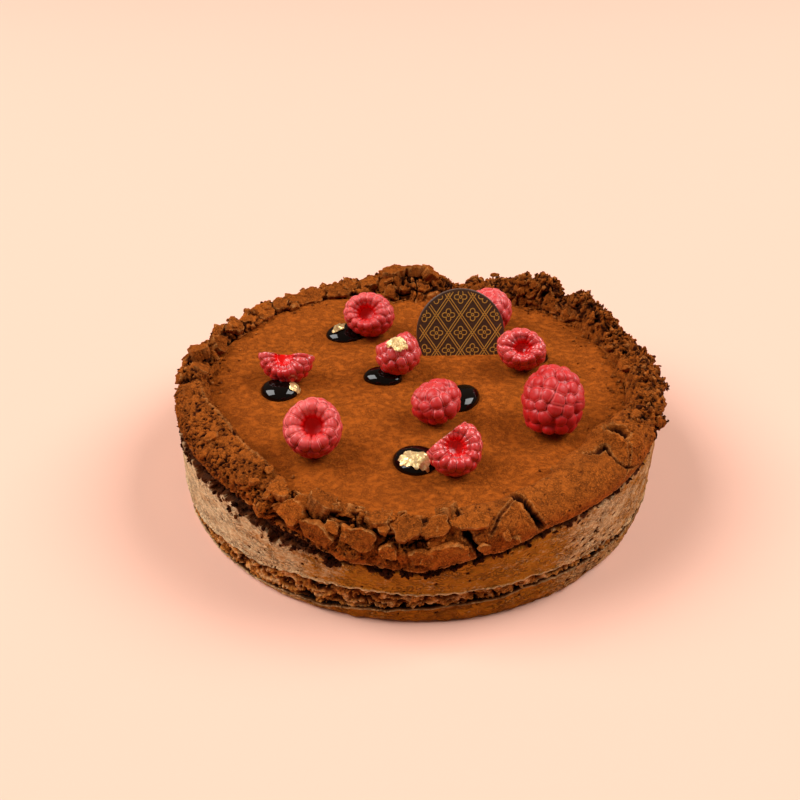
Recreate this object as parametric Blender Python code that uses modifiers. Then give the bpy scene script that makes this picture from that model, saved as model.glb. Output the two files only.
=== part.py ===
"""A round layered chocolate cake with a craggy baked rim, raspberries, glaze drops and a chocolate disc.

Units are metres, +Z is up, and the origin is the middle of the cake's underside. The front is -Y.
Angles round the cake are in degrees from +X, counter-clockwise seen from above, so the front is at -90.
"""

import math
import random
from typing import NamedTuple

import bmesh
import bpy
from mathutils import Matrix, Vector, noise

MM = 0.001
GAP = 0.3 * MM

CAKE_RADIUS = 90 * MM
STEPS_ROUND = 120

# The layers, from the bottom. The crust is a dish: it holds the cocoa mousse and flares out over the wall.
BASE_TOP = 6.5 * MM
SPONGE_TOP = 14.5 * MM
CRUST_UNDERSIDE = 20.3 * MM
CRUST_UNDERSIDE_RADIUS = 62 * MM
DISH_FLOOR = 23.3 * MM
DISH_FLOOR_RADIUS = 59 * MM
FILLING_TOP = 34 * MM
FILLING_INSET = 0.6 * MM


class RimPoint(NamedTuple):
    """The rim at one angle: heights of its lower outer lip and its crest, radius of its inner foot, in mm."""

    angle: float
    lip: float
    crest: float
    foot: float


RIM_SHAPE = (
    RimPoint(-165, 36, 45, 76),
    RimPoint(-148, 36, 44, 73),
    RimPoint(-132, 35, 43, 74),
    RimPoint(-118, 30, 41, 77),
    RimPoint(-105, 26, 39, 77),
    RimPoint(-90, 24, 39, 77),
    RimPoint(-76, 29, 41, 75),
    RimPoint(-62, 34, 42, 72),
    RimPoint(-46, 35, 43, 68),
    RimPoint(-30, 36, 45, 70),
    RimPoint(-18, 36, 46, 77),
    RimPoint(-5, 35, 45, 77),
    RimPoint(6, 35, 42, 78),
    RimPoint(16, 35, 38, 78),
    RimPoint(26, 35, 45, 78),
    RimPoint(36, 35, 45, 79),
    RimPoint(41, 35, 41.5, 79),
    RimPoint(48, 34, 46.5, 77),
    RimPoint(62, 30, 43, 73),
    RimPoint(72, 26, 37, 70),
    RimPoint(79, 24, 33, 67),
    RimPoint(86, 27, 42, 66),
    RimPoint(98, 28, 42, 66),
    RimPoint(108, 29, 37, 71),
    RimPoint(128, 31, 36, 78),
    RimPoint(145, 33, 36.5, 80),
    RimPoint(162, 34, 39, 80),
    RimPoint(178, 35, 41.5, 78),
)

# The rim's cross-section from inner foot to outer lip: (share of the way out to the wall, share of the way
# up from the foot on the inner side, and from the lip on the outer side).
RIM_SECTION_INSIDE = ((0.00, 0.00), (0.12, 0.49), (0.30, 0.87), (0.50, 1.00))
RIM_SECTION_OUTSIDE = ((0.72, 0.95), (0.90, 0.78), (1.00, 0.56), (1.03, 0.34), (1.02, 0.14))
RIM_UNROLLED_WIDTH = 24 * MM

# The sector, in degrees, where the crust stayed a smooth baked plate instead of breaking into crags.
PLATE_START, PLATE_END, PLATE_EASE = -70, -24, 5
PLATE_CRAG_SHARE = 0.2

CRAG_SEED = 11
CRAG_COUNT = 190
CRAG_WIDTH = (2.8 * MM, 5.6 * MM)
CRAG_HEIGHT = (1.2 * MM, 4.4 * MM)
CRAG_MEAN = 1.7 * MM

DRUPELETS_ROUND = 12
DRUPELET_BUMP = 0.5 * MM
RASPBERRY_OUTSIDE = ((0.80, 0.40), (0.97, 0.20), (1.00, -0.02), (0.93, -0.22), (0.75, -0.40), (0.45, -0.53))
RASPBERRY_TIP = -0.58
RASPBERRY_RIM = 0.42

DISC_RADIUS = 17.5 * MM
DISC_THICKNESS = 2 * MM
DISC_SIDES = 48
DISC_FOOT = Vector((17.7, 21.6, 34.0)) * MM
DISC_LEAN = math.radians(20)
DISC_TURN = math.radians(2)
DISC_SUNK = 8.8 * MM

GLAZE_STEPS = 20
LEAF_CORNERS = 7
LEAF_THICKNESS = 0.7 * MM
LEAF_CRUMPLE = 0.25 * MM


class Berry(NamedTuple):
    """A raspberry, in mm and degrees. Its open end faces azimuth and elevation, and flat squashes it sideways.

    Where kept is a number, only the part on the near side of that distance from its axis is there.
    """

    x: float
    y: float
    width: float
    length: float
    flat: float
    azimuth: float
    elevation: float
    roll: float = 0
    hollow: bool = True
    kept: float | None = None


BERRIES = (
    Berry(-19.5, 37.2, 20.0, 14.5, 0.88, -100, 42),
    Berry(30.3, 41.5, 18.5, 14.0, 1.00, 60, -78, hollow=False),
    Berry(-8.2, 7.6, 20.0, 12.5, 0.84, 110, 72, roll=20),
    Berry(40.8, 11.2, 19.0, 12.0, 0.84, -100, 44),
    Berry(-49.9, 4.4, 20.3, 11.0, 1.00, -95, 42, kept=0.8),
    Berry(-35.7, -43.6, 19.7, 16.5, 1.02, -88, 46),
    Berry(5.8, -23.2, 18.0, 11.0, 1.00, -20, -72, roll=15, hollow=False),
    Berry(47.0, -27.5, 21.6, 20.5, 1.00, -100, -72, roll=30, hollow=False),
    Berry(11.6, -51.4, 18.4, 11.5, 1.00, -85, 48, roll=35, kept=4.8),
)


class Drop(NamedTuple):
    """A drop of glaze, in mm, with its long axis turned from +X by turn degrees."""

    x: float
    y: float
    length: float
    width: float
    turn: float
    height: float


DROPS = (
    Drop(-28.9, 37.2, 17.0, 13.6, 20, 3.2),
    Drop(-13.2, 3.8, 15.0, 11.4, -10, 3.4),
    Drop(-51.8, -5.4, 14.6, 14.0, 0, 3.6),
    Drop(16.6, -10.7, 16.6, 13.0, 70, 3.6),
    Drop(-1.2, -48.0, 15.5, 15.2, 5, 3.6),
    Drop(46.0, 18.5, 13.5, 11.5, 20, 3.2),
)


class Leaf(NamedTuple):
    """A scrap of gold leaf on the object named host, in mm and degrees."""

    host: str
    x: float
    y: float
    z: float
    length: float
    width: float
    turn: float
    tilt: float


LEAVES = (
    Leaf("glaze_drop_1", -32.0, 36.8, 37.4, 7.0, 4.4, 62, 4),
    Leaf("glaze_drop_3", -46.0, -6.2, 36.9, 5.4, 4.2, 70, -28),
    Leaf("glaze_drop_5", -1.8, -51.4, 37.8, 11.0, 7.0, -12, 6),
    Leaf("raspberry_3", -7.5, 3.9, 48.7, 7.0, 4.6, -12, 12),
)


def clear_scene():
    for thing in list(bpy.data.objects):
        bpy.data.objects.remove(thing)


def new_collection(name):
    collection = bpy.data.collections.new(name)
    bpy.context.scene.collection.children.link(collection)
    return collection


def new_material(name, colour, roughness):
    material = bpy.data.materials.new(name)
    material.use_nodes = True
    shader = material.node_tree.nodes["Principled BSDF"]
    shader.inputs["Base Color"].default_value = (*colour, 1.0)
    shader.inputs["Roughness"].default_value = roughness
    shader.inputs["Metallic"].default_value = 0.0
    return material


def add_object(name, mesh, collection, material=None):
    thing = bpy.data.objects.new(name, mesh)
    collection.objects.link(thing)
    if material:
        mesh.materials.clear()
        mesh.materials.append(material)
        mesh.shade_smooth()
        mesh.set_sharp_from_angle(angle=math.radians(50))
    return thing


def applied_mesh(thing):
    """The object's mesh with its modifiers applied. The object itself is removed."""
    bpy.context.view_layer.update()
    mesh = bpy.data.meshes.new_from_object(thing.evaluated_get(bpy.context.evaluated_depsgraph_get()))
    bpy.data.objects.remove(thing)
    return mesh


def close_up(mesh):
    """Merges points in the same place, splits faces along their shorter diagonal and turns them all outward.

    Two surfaces that follow each other then split alike, so the gap between them stays even.
    """
    work = bmesh.new()
    work.from_mesh(mesh)
    bmesh.ops.remove_doubles(work, verts=work.verts, dist=1e-6)
    bmesh.ops.triangulate(work, faces=work.faces, quad_method="SHORT_EDGE")
    bmesh.ops.recalc_face_normals(work, faces=work.faces)
    work.to_mesh(mesh)
    work.free()
    return mesh


def turned_mesh(rows, steps, place):
    """A closed solid turned about Z by a Screw, with a profile that may change on the way round.

    place(angle, row) gives the radius and height of the profile's point number row, counted down the outer
    side. The first and the last point lie on the axis.
    """
    profile = bpy.data.meshes.new("profile")
    points = [(radius, 0.0, height) for radius, height in (place(0.0, row) for row in range(rows))]
    profile.from_pydata(points, [(row, row + 1) for row in range(rows - 1)], [])
    thing = add_object("profile", profile, bpy.context.scene.collection)
    screw = thing.modifiers.new("Screw", "SCREW")
    screw.steps = steps
    screw.render_steps = steps
    mesh = applied_mesh(thing)
    for point in mesh.vertices:
        angle = math.degrees(math.atan2(point.co.y, point.co.x))
        radius, height = place(angle, point.index % rows)
        point.co = (radius * math.cos(math.radians(angle)), radius * math.sin(math.radians(angle)), height)
    return close_up(mesh)


def smoothly(share):
    share = min(1.0, max(0.0, share))
    return share * share * (3 - 2 * share)


def rim_at(angle):
    """The rim's lip height, crest height and foot radius at this angle, in metres, eased from row to row."""
    for i, row in enumerate(RIM_SHAPE):
        after = RIM_SHAPE[(i + 1) % len(RIM_SHAPE)]
        span = (after.angle - row.angle) % 360
        along = (angle - row.angle) % 360
        if along < span:
            break
    share = smoothly(along / span)
    return tuple((row[i] + (after[i] - row[i]) * share) * MM for i in (1, 2, 3))


def wave(angle, *terms):
    """A sum of (size, waves in a full turn, phase in degrees) cosines, for edges that wander up and down."""
    return sum(size * math.cos(math.radians(count * angle + phase)) for size, count, phase in terms)


def base_edge(angle):
    """Height of the base layer's top edge at the cake's side."""
    return BASE_TOP + wave(angle, (0.8 * MM, 2, 20), (0.6 * MM, 7, 80), (0.4 * MM, 13, 10))


def sponge_edge(angle):
    """Height of the sponge's top edge at the cake's side."""
    return SPONGE_TOP + wave(angle, (0.7 * MM, 3, 140), (0.7 * MM, 9, 30), (0.4 * MM, 17, 0))


def side_grain(angle, height, size, scale):
    """Fractal relief on the cake's side: size is its depth and scale its typical width."""
    round_the_side = Matrix.Rotation(math.radians(angle), 3, "Z") @ Vector((CAKE_RADIUS, 0, height))
    return size * noise.fractal(round_the_side / scale, 0.8, 2.0, 3)


def base_layer(collection, material):
    """The thin, dense layer that the cake stands on, with its lower edge rounded under."""
    rows_up_the_side = (1.0, 0.5, 0.0)
    tuck_under = 0.8 * MM

    def place(angle, row):
        if row == 0:
            return 0.0, BASE_TOP
        if row > len(rows_up_the_side):
            return 0.0, 0.0
        share = rows_up_the_side[row - 1]
        height = share * base_edge(angle)
        grain = side_grain(angle, height, 0.7 * MM, 9 * MM)
        return CAKE_RADIUS + grain - tuck_under * (1 - share) ** 2, height

    mesh = turned_mesh(len(rows_up_the_side) + 2, STEPS_ROUND, place)
    return add_object("base_layer", mesh, collection, material)


def sponge_layer(collection, material):
    """The crumbly sponge, set back a little and ragged."""
    rows_up_the_side = (1.0, 0.67, 0.33, 0.0)
    set_back = 0.9 * MM

    def place(angle, row):
        if row == 0:
            return 0.0, SPONGE_TOP
        if row > len(rows_up_the_side):
            return 0.0, BASE_TOP + GAP
        low, high = base_edge(angle) + GAP, sponge_edge(angle)
        height = low + rows_up_the_side[row - 1] * (high - low)
        return CAKE_RADIUS - set_back + side_grain(angle, height, 1.7 * MM, 4.5 * MM), height

    mesh = turned_mesh(len(rows_up_the_side) + 2, STEPS_ROUND, place)
    return add_object("sponge_layer", mesh, collection, material)


def mousse_layer(collection, material):
    """The moulded mousse, smooth at the side, whose top follows the crust's underside."""
    rows_up_the_side = (1.0, 0.67, 0.33, 0.0)

    def place(angle, row):
        if row == 0:
            return 0.0, CRUST_UNDERSIDE - GAP
        if row == 1:
            return CRUST_UNDERSIDE_RADIUS, CRUST_UNDERSIDE - GAP
        if row > len(rows_up_the_side) + 1:
            return 0.0, SPONGE_TOP + GAP
        lip, _, _ = rim_at(angle)
        low, high = sponge_edge(angle) + GAP, lip - GAP
        height = low + rows_up_the_side[row - 2] * (high - low)
        # The topmost row stays true, so that it follows the crust's lip.
        grain = 0.0 if row == 2 else side_grain(angle, height, 0.35 * MM, 14 * MM)
        return CAKE_RADIUS + grain, height

    mesh = turned_mesh(len(rows_up_the_side) + 3, STEPS_ROUND, place)
    return add_object("mousse_layer", mesh, collection, material)


class Crag(NamedTuple):
    """A lump on the unrolled rim: its angle, its place across from 0 to 1, its half width and its height."""

    angle: float
    across: float
    width: float
    height: float


def draw_crags():
    draw = random.Random(CRAG_SEED)
    return [
        Crag(draw.uniform(-180, 180), draw.random(), draw.uniform(*CRAG_WIDTH), draw.uniform(*CRAG_HEIGHT))
        for _ in range(CRAG_COUNT)
    ]


def crag_relief(angle, across, crags):
    """Height of the tallest crag over a point of the unrolled rim, where each is a paraboloid."""
    tallest = 0.0
    for crag in crags:
        turn = (angle - crag.angle + 180) % 360 - 180
        along = math.radians(turn) * CAKE_RADIUS
        if abs(along) < crag.width:
            away = math.hypot(along, (across - crag.across) * RIM_UNROLLED_WIDTH)
            tallest = max(tallest, crag.height * (1 - (away / crag.width) ** 2))
    return tallest


def plate_share(angle):
    """1 on the smooth plate, 0 away from it."""
    return smoothly((angle - PLATE_START) / PLATE_EASE) * smoothly((PLATE_END - angle) / PLATE_EASE)


def rim_place(angle, station, crags):
    """Radius and height of the rim's surface at one of its stations, from the inner foot to above the lip."""
    lip, crest, foot = rim_at(angle)
    foot_height = FILLING_TOP - FILLING_INSET
    if station < len(RIM_SECTION_INSIDE):
        out, up = RIM_SECTION_INSIDE[station]
        height = foot_height + (crest - foot_height) * up
    else:
        out, up = RIM_SECTION_OUTSIDE[station - len(RIM_SECTION_INSIDE)]
        height = lip + (crest - lip) * up
    radius = foot + out * (CAKE_RADIUS - foot)
    if station == 0:
        return radius, height
    across = station / (len(RIM_SECTION_INSIDE) + len(RIM_SECTION_OUTSIDE))
    plate = plate_share(angle)
    relief = crag_relief(angle, across, crags) * (1 - (1 - PLATE_CRAG_SHARE) * plate)
    push = relief - CRAG_MEAN * (1 - plate)
    # The relief lifts the crest, pushes the outer side outward, and leans a little inward near the foot.
    outward = smoothly((across - 0.35) / 0.4)
    inward = 0.4 * (1 - smoothly(across / 0.3))
    return radius + 0.7 * push * (outward - inward), height + push * (1 - 0.75 * outward)


def baked_crust(collection, material):
    """The dish-shaped baked layer: a thin floor, and a rim that flares over the mousse in crags."""
    crags = draw_crags()
    stations = len(RIM_SECTION_INSIDE) + len(RIM_SECTION_OUTSIDE)
    lip_inset = 0.2 * MM

    def place(angle, row):
        if row == 0:
            return 0.0, DISH_FLOOR
        if row == 1:
            return DISH_FLOOR_RADIUS, DISH_FLOOR
        if row < stations + 2:
            return rim_place(angle, row - 2, crags)
        if row == stations + 2:
            return CAKE_RADIUS - lip_inset, rim_at(angle)[0]
        if row == stations + 3:
            return CRUST_UNDERSIDE_RADIUS, CRUST_UNDERSIDE
        return 0.0, CRUST_UNDERSIDE

    return add_object("baked_crust", turned_mesh(stations + 5, STEPS_ROUND, place), collection, material)


def cocoa_mousse(collection, material, slot):
    """The mousse poured into the baked dish, level on top, with a slot where the chocolate disc stands."""
    shoulder, shoulder_drop = 2 * MM, 0.5 * MM

    def place(angle, row):
        edge = rim_at(angle)[2] - FILLING_INSET
        return (
            (0.0, FILLING_TOP),
            (edge - shoulder, FILLING_TOP),
            (edge, FILLING_TOP - shoulder_drop),
            (DISH_FLOOR_RADIUS - FILLING_INSET, DISH_FLOOR + GAP),
            (0.0, DISH_FLOOR + GAP),
        )[row]

    filling = add_object("cocoa_mousse", turned_mesh(5, STEPS_ROUND, place), collection, material)
    join_or_cut(filling, slot, "DIFFERENCE")
    return filling


def join_or_cut(thing, other, operation):
    boolean = thing.modifiers.new(other.name, "BOOLEAN")
    boolean.operation = operation
    boolean.object = other


def disc_object(name, radius, thickness, collection, material=None):
    """A round plate that stands in the mousse and leans back."""
    mesh = bpy.data.meshes.new(name)
    work = bmesh.new()
    bmesh.ops.create_cone(
        work, cap_ends=True, segments=DISC_SIDES, radius1=radius, radius2=radius, depth=thickness
    )
    work.to_mesh(mesh)
    work.free()
    disc = add_object(name, mesh, collection, material)
    turn = Matrix.Rotation(DISC_TURN, 4, "Z")
    up_the_disc = Vector((0, math.sin(DISC_LEAN), math.cos(DISC_LEAN)))
    centre = DISC_FOOT + turn @ up_the_disc * (DISC_RADIUS - DISC_SUNK)
    disc.matrix_world = (
        Matrix.Translation(centre) @ turn @ Matrix.Rotation(math.pi / 2 - DISC_LEAN, 4, "X")
    )
    return disc


def raspberry_profile(berry):
    """(radius, height) points down a raspberry's side, from inside its hollow or its closed end to its tip."""
    width, length = berry.width * MM, berry.length * MM
    if berry.hollow:
        hole = 0.17 * width
        start = [(0.0, -0.12 * length), (0.8 * hole, -0.08 * length), (hole, 0.25 * length)]
        start.append((0.30 * width, RASPBERRY_RIM * length))
    else:
        start = [(0.0, RASPBERRY_RIM * length - 1.5 * MM), (0.25 * width, RASPBERRY_RIM * length - 0.5 * MM)]
    side = [(share * width / 2, up * length) for share, up in RASPBERRY_OUTSIDE]
    return start, side, [(0.0, RASPBERRY_TIP * length)]


def raspberry_mesh(berry):
    """A raspberry about its own axis, open end at +Z, whose side alternates between drupelets and creases."""
    start, side, tip = raspberry_profile(berry)
    profile = start + side + tip
    steps = 2 * DRUPELETS_ROUND

    def place(angle, row):
        radius, height = profile[row]
        if not len(start) <= row < len(start) + len(side):
            return radius, height
        column = round(angle * steps / 360)
        bump = DRUPELET_BUMP if (column + row) % 2 else -DRUPELET_BUMP
        grown = 1 + bump / math.hypot(radius, height)
        return radius * grown, height * grown

    mesh = turned_mesh(len(profile), steps, place)
    mesh.transform(Matrix.Diagonal((1, berry.flat, 1, 1)))
    if berry.kept is not None:
        keep_near_side(mesh, berry.kept * MM)
    return mesh


def keep_near_side(mesh, cut_at):
    """Keeps the part of a berry below the plane y = cut_at and closes the cut."""
    work = bmesh.new()
    work.from_mesh(mesh)
    everything = work.verts[:] + work.edges[:] + work.faces[:]
    cut = bmesh.ops.bisect_plane(
        work, geom=everything, plane_co=(0, cut_at, 0), plane_no=(0, 1, 0), clear_outer=True
    )
    edges = [part for part in cut["geom_cut"] if isinstance(part, bmesh.types.BMEdge)]
    bmesh.ops.holes_fill(work, edges=edges, sides=0)
    work.to_mesh(mesh)
    work.free()
    close_up(mesh)


def raspberries(collection, material):
    """The berries, each turned to the way its open end faces and stood on the mousse."""
    made = []
    for i, berry in enumerate(BERRIES):
        azimuth, elevation = math.radians(berry.azimuth), math.radians(berry.elevation)
        level = math.cos(elevation)
        open_end = Vector((level * math.cos(azimuth), level * math.sin(azimuth), math.sin(elevation)))
        turn = open_end.to_track_quat("Z", "Y").to_matrix().to_4x4()
        mesh = raspberry_mesh(berry)
        mesh.transform(turn @ Matrix.Rotation(math.radians(berry.roll), 4, "Z"))
        lowest = min(point.co.z for point in mesh.vertices)
        thing = add_object(f"raspberry_{i + 1}", mesh, collection, material)
        thing.location = (berry.x * MM, berry.y * MM, FILLING_TOP + GAP - lowest)
        made.append(thing)
    bpy.context.view_layer.update()
    return made


def clearance_egg(berry, cutters):
    """An egg a little larger than the berry, so that a drop cut by it stays clear."""
    corners = [berry.matrix_world @ point.co for point in berry.data.vertices]
    low = Vector([min(corner[i] for corner in corners) for i in range(3)])
    high = Vector([max(corner[i] for corner in corners) for i in range(3)])
    grown = 1.06
    mesh = bpy.data.meshes.new("egg")
    work = bmesh.new()
    bmesh.ops.create_icosphere(work, subdivisions=3, radius=1.0)
    bmesh.ops.scale(work, vec=(high - low) / 2 * grown + Vector((GAP, GAP, GAP)) * 2, verts=work.verts)
    work.to_mesh(mesh)
    work.free()
    egg = add_object(f"{berry.name}_clearance", mesh, cutters)
    egg.location = (high + low) / 2
    return egg


def glaze_mesh(drop):
    """A puddle with steep rounded edges: its height falls as (1 - share of the radius ^ 2.6) ^ 0.55."""
    rings = (0.0, 0.45, 0.75, 0.93)
    profile = [(ring, (1 - ring**2.6) ** 0.55) for ring in rings] + [(1.0, 0.22), (0.96, 0.0), (0.0, 0.0)]

    def place(angle, row):
        share, up = profile[row]
        return share * drop.length / 2 * MM, up * drop.height * MM

    mesh = turned_mesh(len(profile), GLAZE_STEPS, place)
    turn = Matrix.Rotation(math.radians(drop.turn), 4, "Z")
    mesh.transform(turn @ Matrix.Diagonal((1, drop.width / drop.length, 1, 1)))
    return mesh


def glaze_drops(collection, material, cutters, berries):
    """The drops of dark glaze, each cut clear of the berries that lean on it."""
    eggs = [clearance_egg(berry, cutters) for berry in berries]
    berry_reach = 13 * MM
    for i, drop in enumerate(DROPS):
        thing = add_object(f"glaze_drop_{i + 1}", glaze_mesh(drop), collection, material)
        thing.location = (drop.x * MM, drop.y * MM, FILLING_TOP + GAP)
        for egg in eggs:
            away = (egg.location - thing.location).to_2d().length
            if away < drop.length / 2 * MM + berry_reach:
                join_or_cut(thing, egg, "DIFFERENCE")


def leaf_mesh(leaf, seed):
    """A torn scrap of leaf: a ragged outline whose corners are bent up and down, thickened."""
    draw = random.Random(seed)
    mesh = bpy.data.meshes.new("leaf")
    work = bmesh.new()
    bmesh.ops.create_circle(work, cap_ends=True, cap_tris=True, segments=LEAF_CORNERS, radius=1.0)
    for point in work.verts:
        reach = draw.uniform(0.75, 1.1) / 2
        point.co.x *= reach * leaf.length * MM
        point.co.y *= reach * leaf.width * MM
        point.co.z = draw.uniform(-1, 1) * LEAF_CRUMPLE
    work.to_mesh(mesh)
    work.free()
    thing = add_object("leaf", mesh, bpy.context.scene.collection)
    thick = thing.modifiers.new("Solidify", "SOLIDIFY")
    thick.thickness = LEAF_THICKNESS
    thick.offset = 0
    return applied_mesh(thing)


def fuse_gold_leaf(collection):
    """Joins each scrap of gold leaf to the piece it lies on, once that piece's own cuts are made."""
    for seed, leaf in enumerate(LEAVES):
        host = bpy.data.objects[leaf.host]
        thing = add_object("leaf", leaf_mesh(leaf, seed), collection)
        thing.matrix_world = (
            Matrix.Translation(Vector((leaf.x, leaf.y, leaf.z)) * MM)
            @ Matrix.Rotation(math.radians(leaf.turn), 4, "Z")
            @ Matrix.Rotation(math.radians(leaf.tilt), 4, "X")
        )
        join_or_cut(host, thing, "UNION")
        bpy.context.view_layer.update()
        graph = bpy.context.evaluated_depsgraph_get()
        fused = bpy.data.meshes.new_from_object(host.evaluated_get(graph))
        host.modifiers.clear()
        host.data = fused
        bpy.data.objects.remove(thing)


def hide_cutters(cutters):
    for cutter in cutters.objects:
        cutter.hide_render = True
        cutter.display_type = "WIRE"


def main():
    clear_scene()
    cake = new_collection("chocolate_cake")
    cutters = new_collection("cutters")

    base_layer(cake, new_material("dense base", (0.13, 0.045, 0.016), 0.8))
    sponge_layer(cake, new_material("sponge crumb", (0.11, 0.032, 0.010), 0.95))
    mousse_layer(cake, new_material("moulded mousse", (0.20, 0.085, 0.035), 0.75))
    baked_crust(cake, new_material("baked crust", (0.22, 0.065, 0.013), 0.95))
    slot = disc_object("slot", DISC_RADIUS + 1.3 * GAP, DISC_THICKNESS + 2 * GAP, cutters)
    cocoa_mousse(cake, new_material("cocoa powder", (0.36, 0.085, 0.010), 1.0), slot)
    chocolate = new_material("dark chocolate", (0.045, 0.022, 0.015), 0.4)
    disc_object("chocolate_disc", DISC_RADIUS, DISC_THICKNESS, cake, chocolate)
    berries = raspberries(cake, new_material("raspberry", (0.60, 0.030, 0.028), 0.35))
    glaze_drops(cake, new_material("dark glaze", (0.008, 0.004, 0.003), 0.08), cutters, berries)
    fuse_gold_leaf(cake)
    hide_cutters(cutters)


main()
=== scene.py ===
"""The looks of a round chocolate cake with a craggy baked rim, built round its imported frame.

Sizes are in millimetres until a mesh is made, +Z is up, the front is -Y, and the origin is the middle of the
cake's underside. Angles round the cake are in degrees from +X, counter-clockwise seen from above.
"""

import logging
import math
import random
from collections.abc import Callable
from dataclasses import dataclass, field
from enum import Enum
from functools import partial

import bmesh
import bpy
import numpy as np
from bpy.types import ID, Material, Mesh, Node, NodeSocket, NodeTree, Object
from mathutils import Matrix, Vector


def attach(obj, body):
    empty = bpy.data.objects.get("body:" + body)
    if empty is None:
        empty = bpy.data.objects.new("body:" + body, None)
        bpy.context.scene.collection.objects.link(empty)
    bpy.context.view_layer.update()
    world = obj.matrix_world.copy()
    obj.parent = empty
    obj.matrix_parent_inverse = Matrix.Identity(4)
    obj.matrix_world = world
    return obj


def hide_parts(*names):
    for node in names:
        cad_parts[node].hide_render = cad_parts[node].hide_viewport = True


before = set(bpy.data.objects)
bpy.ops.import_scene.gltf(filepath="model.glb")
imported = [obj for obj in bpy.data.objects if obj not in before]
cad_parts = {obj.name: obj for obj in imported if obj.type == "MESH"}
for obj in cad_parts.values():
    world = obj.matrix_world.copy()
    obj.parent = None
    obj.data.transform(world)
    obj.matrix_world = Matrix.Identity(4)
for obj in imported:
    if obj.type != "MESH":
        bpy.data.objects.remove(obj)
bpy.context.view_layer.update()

Array = np.ndarray
MM = 0.001
BODY = "root"
LOG = logging.getLogger("cake")

# The wall's radius, and the heights of the top mousse, the dish's floor and the rim's inner foot.
CAKE_RADIUS = 90.0
FILLING_TOP = 34.0
DISH_FLOOR = 23.6
FOOT_HEIGHT = 33.4
# The unrolled rim: the radius that its angles are measured at, and its width from foot to lip.
RIM_MIDDLE = 86.0
RIM_UNROLLED = 24.0
# Where the crest and the lip lie on the rim's cross-section, and where what shows of it ends, in stations.
CREST_STEP, LIP_STEP, LAST_SHOWN = 3.9, 9.7, 11.4
# The angles of the smooth plate on the rim, and over how many degrees it ends.
PLATE_START, PLATE_END, PLATE_EASE = -70.0, -24.0, 5.0
# The powers of a glaze drop's profile: how flat its top is, and how round its shoulder is.
DROP_FLAT, DROP_ROUND = 2.6, 0.55
# How many radians of the sine that makes the fold lines go to one unit of their slow noise.
FOLD_LINES = 55.0
# Further than any distance that is compared with it.
FAR = 99.0

# The rim at one angle in degrees: heights of its lower outer lip and of its crest, radius of its inner foot.
RIM_SHAPE = np.array([
    (-165, 36, 45, 76), (-148, 36, 44, 73), (-132, 35, 43, 74), (-118, 30, 41, 77), (-105, 26, 39, 77),
    (-90, 24, 39, 77), (-76, 29, 41, 75), (-62, 34, 42, 72), (-46, 35, 43, 68), (-30, 36, 45, 70),
    (-18, 36, 46, 77), (-5, 35, 45, 77), (6, 35, 42, 78), (16, 35, 38, 78), (26, 35, 45, 78),
    (36, 35, 45, 79), (41, 35, 41.5, 79), (48, 34, 46.5, 77), (62, 30, 43, 73), (72, 26, 37, 70),
    (79, 24, 33, 67), (86, 27, 42, 66), (98, 28, 42, 66), (108, 29, 37, 71), (128, 31, 36, 78),
    (145, 33, 36.5, 80), (162, 34, 39, 80), (178, 35, 41.5, 78),
])
# The rim's cross-section: (share of the way from the foot to the wall, share of the way up to the crest).
RIM_INSIDE = ((0.00, 0.00), (0.12, 0.49), (0.30, 0.87), (0.50, 1.00))
RIM_OUTSIDE = ((0.72, 0.95), (0.90, 0.78), (1.00, 0.56), (1.03, 0.34), (1.02, 0.14))

# How the rim broke, by angle: (angle, coral crumb, small pores, broken rocks, crumbs on it, their size in mm).
RIM_BREAK = np.array([
    (-180, 0.50, 0.60, 0.45, 0.40, 1.0), (-165, 0.20, 1.00, 0.10, 0.06, 0.7), (-130, 0.12, 1.00, 0.12, 0.05, 0.7),
    (-121, 0.25, 0.50, 0.90, 0.36, 0.9), (-100, 0.15, 0.35, 1.00, 0.40, 0.9), (-88, 0.12, 0.30, 0.90, 0.34, 0.9),
    (-83, 0.04, 0.25, 0.15, 0.06, 0.6), (-72, 0.03, 0.20, 0.06, 0.03, 0.6), (-40, 0.03, 0.15, 0.04, 0.03, 0.6),
    (-30, 0.10, 0.30, 0.12, 0.10, 0.7), (-22, 0.95, 0.50, 0.35, 0.90, 1.1), (10, 1.10, 0.50, 0.30, 1.10, 1.2),
    (30, 1.00, 0.50, 0.40, 1.00, 1.2), (60, 0.80, 0.50, 0.55, 0.70, 1.1), (75, 0.50, 0.40, 0.60, 0.50, 1.0),
    (90, 0.45, 0.40, 1.00, 0.50, 1.2), (104, 0.30, 0.35, 0.90, 0.40, 1.1), (115, 0.15, 0.25, 1.00, 0.22, 1.0),
    (140, 0.20, 0.25, 1.00, 0.32, 1.0), (160, 0.45, 0.40, 0.80, 0.50, 1.1),
])
# The rim's form, by angle: (angle, how far out its crest lies as a share, how far in its lip lies in mm).
RIM_FORM = np.array([
    (-180, 0.45, 0.3), (-165, 0.30, 0.4), (-150, 0.22, 1.0), (-132, 0.22, 1.2), (-120, 0.36, 0.5),
    (-105, 0.42, 0.0), (-88, 0.38, 0.0), (-70, 0.46, 0.0), (-30, 0.50, 0.0), (0, 0.50, 0.0),
    (60, 0.50, 0.0), (120, 0.50, 0.0), (178, 0.46, 0.2),
])
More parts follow.
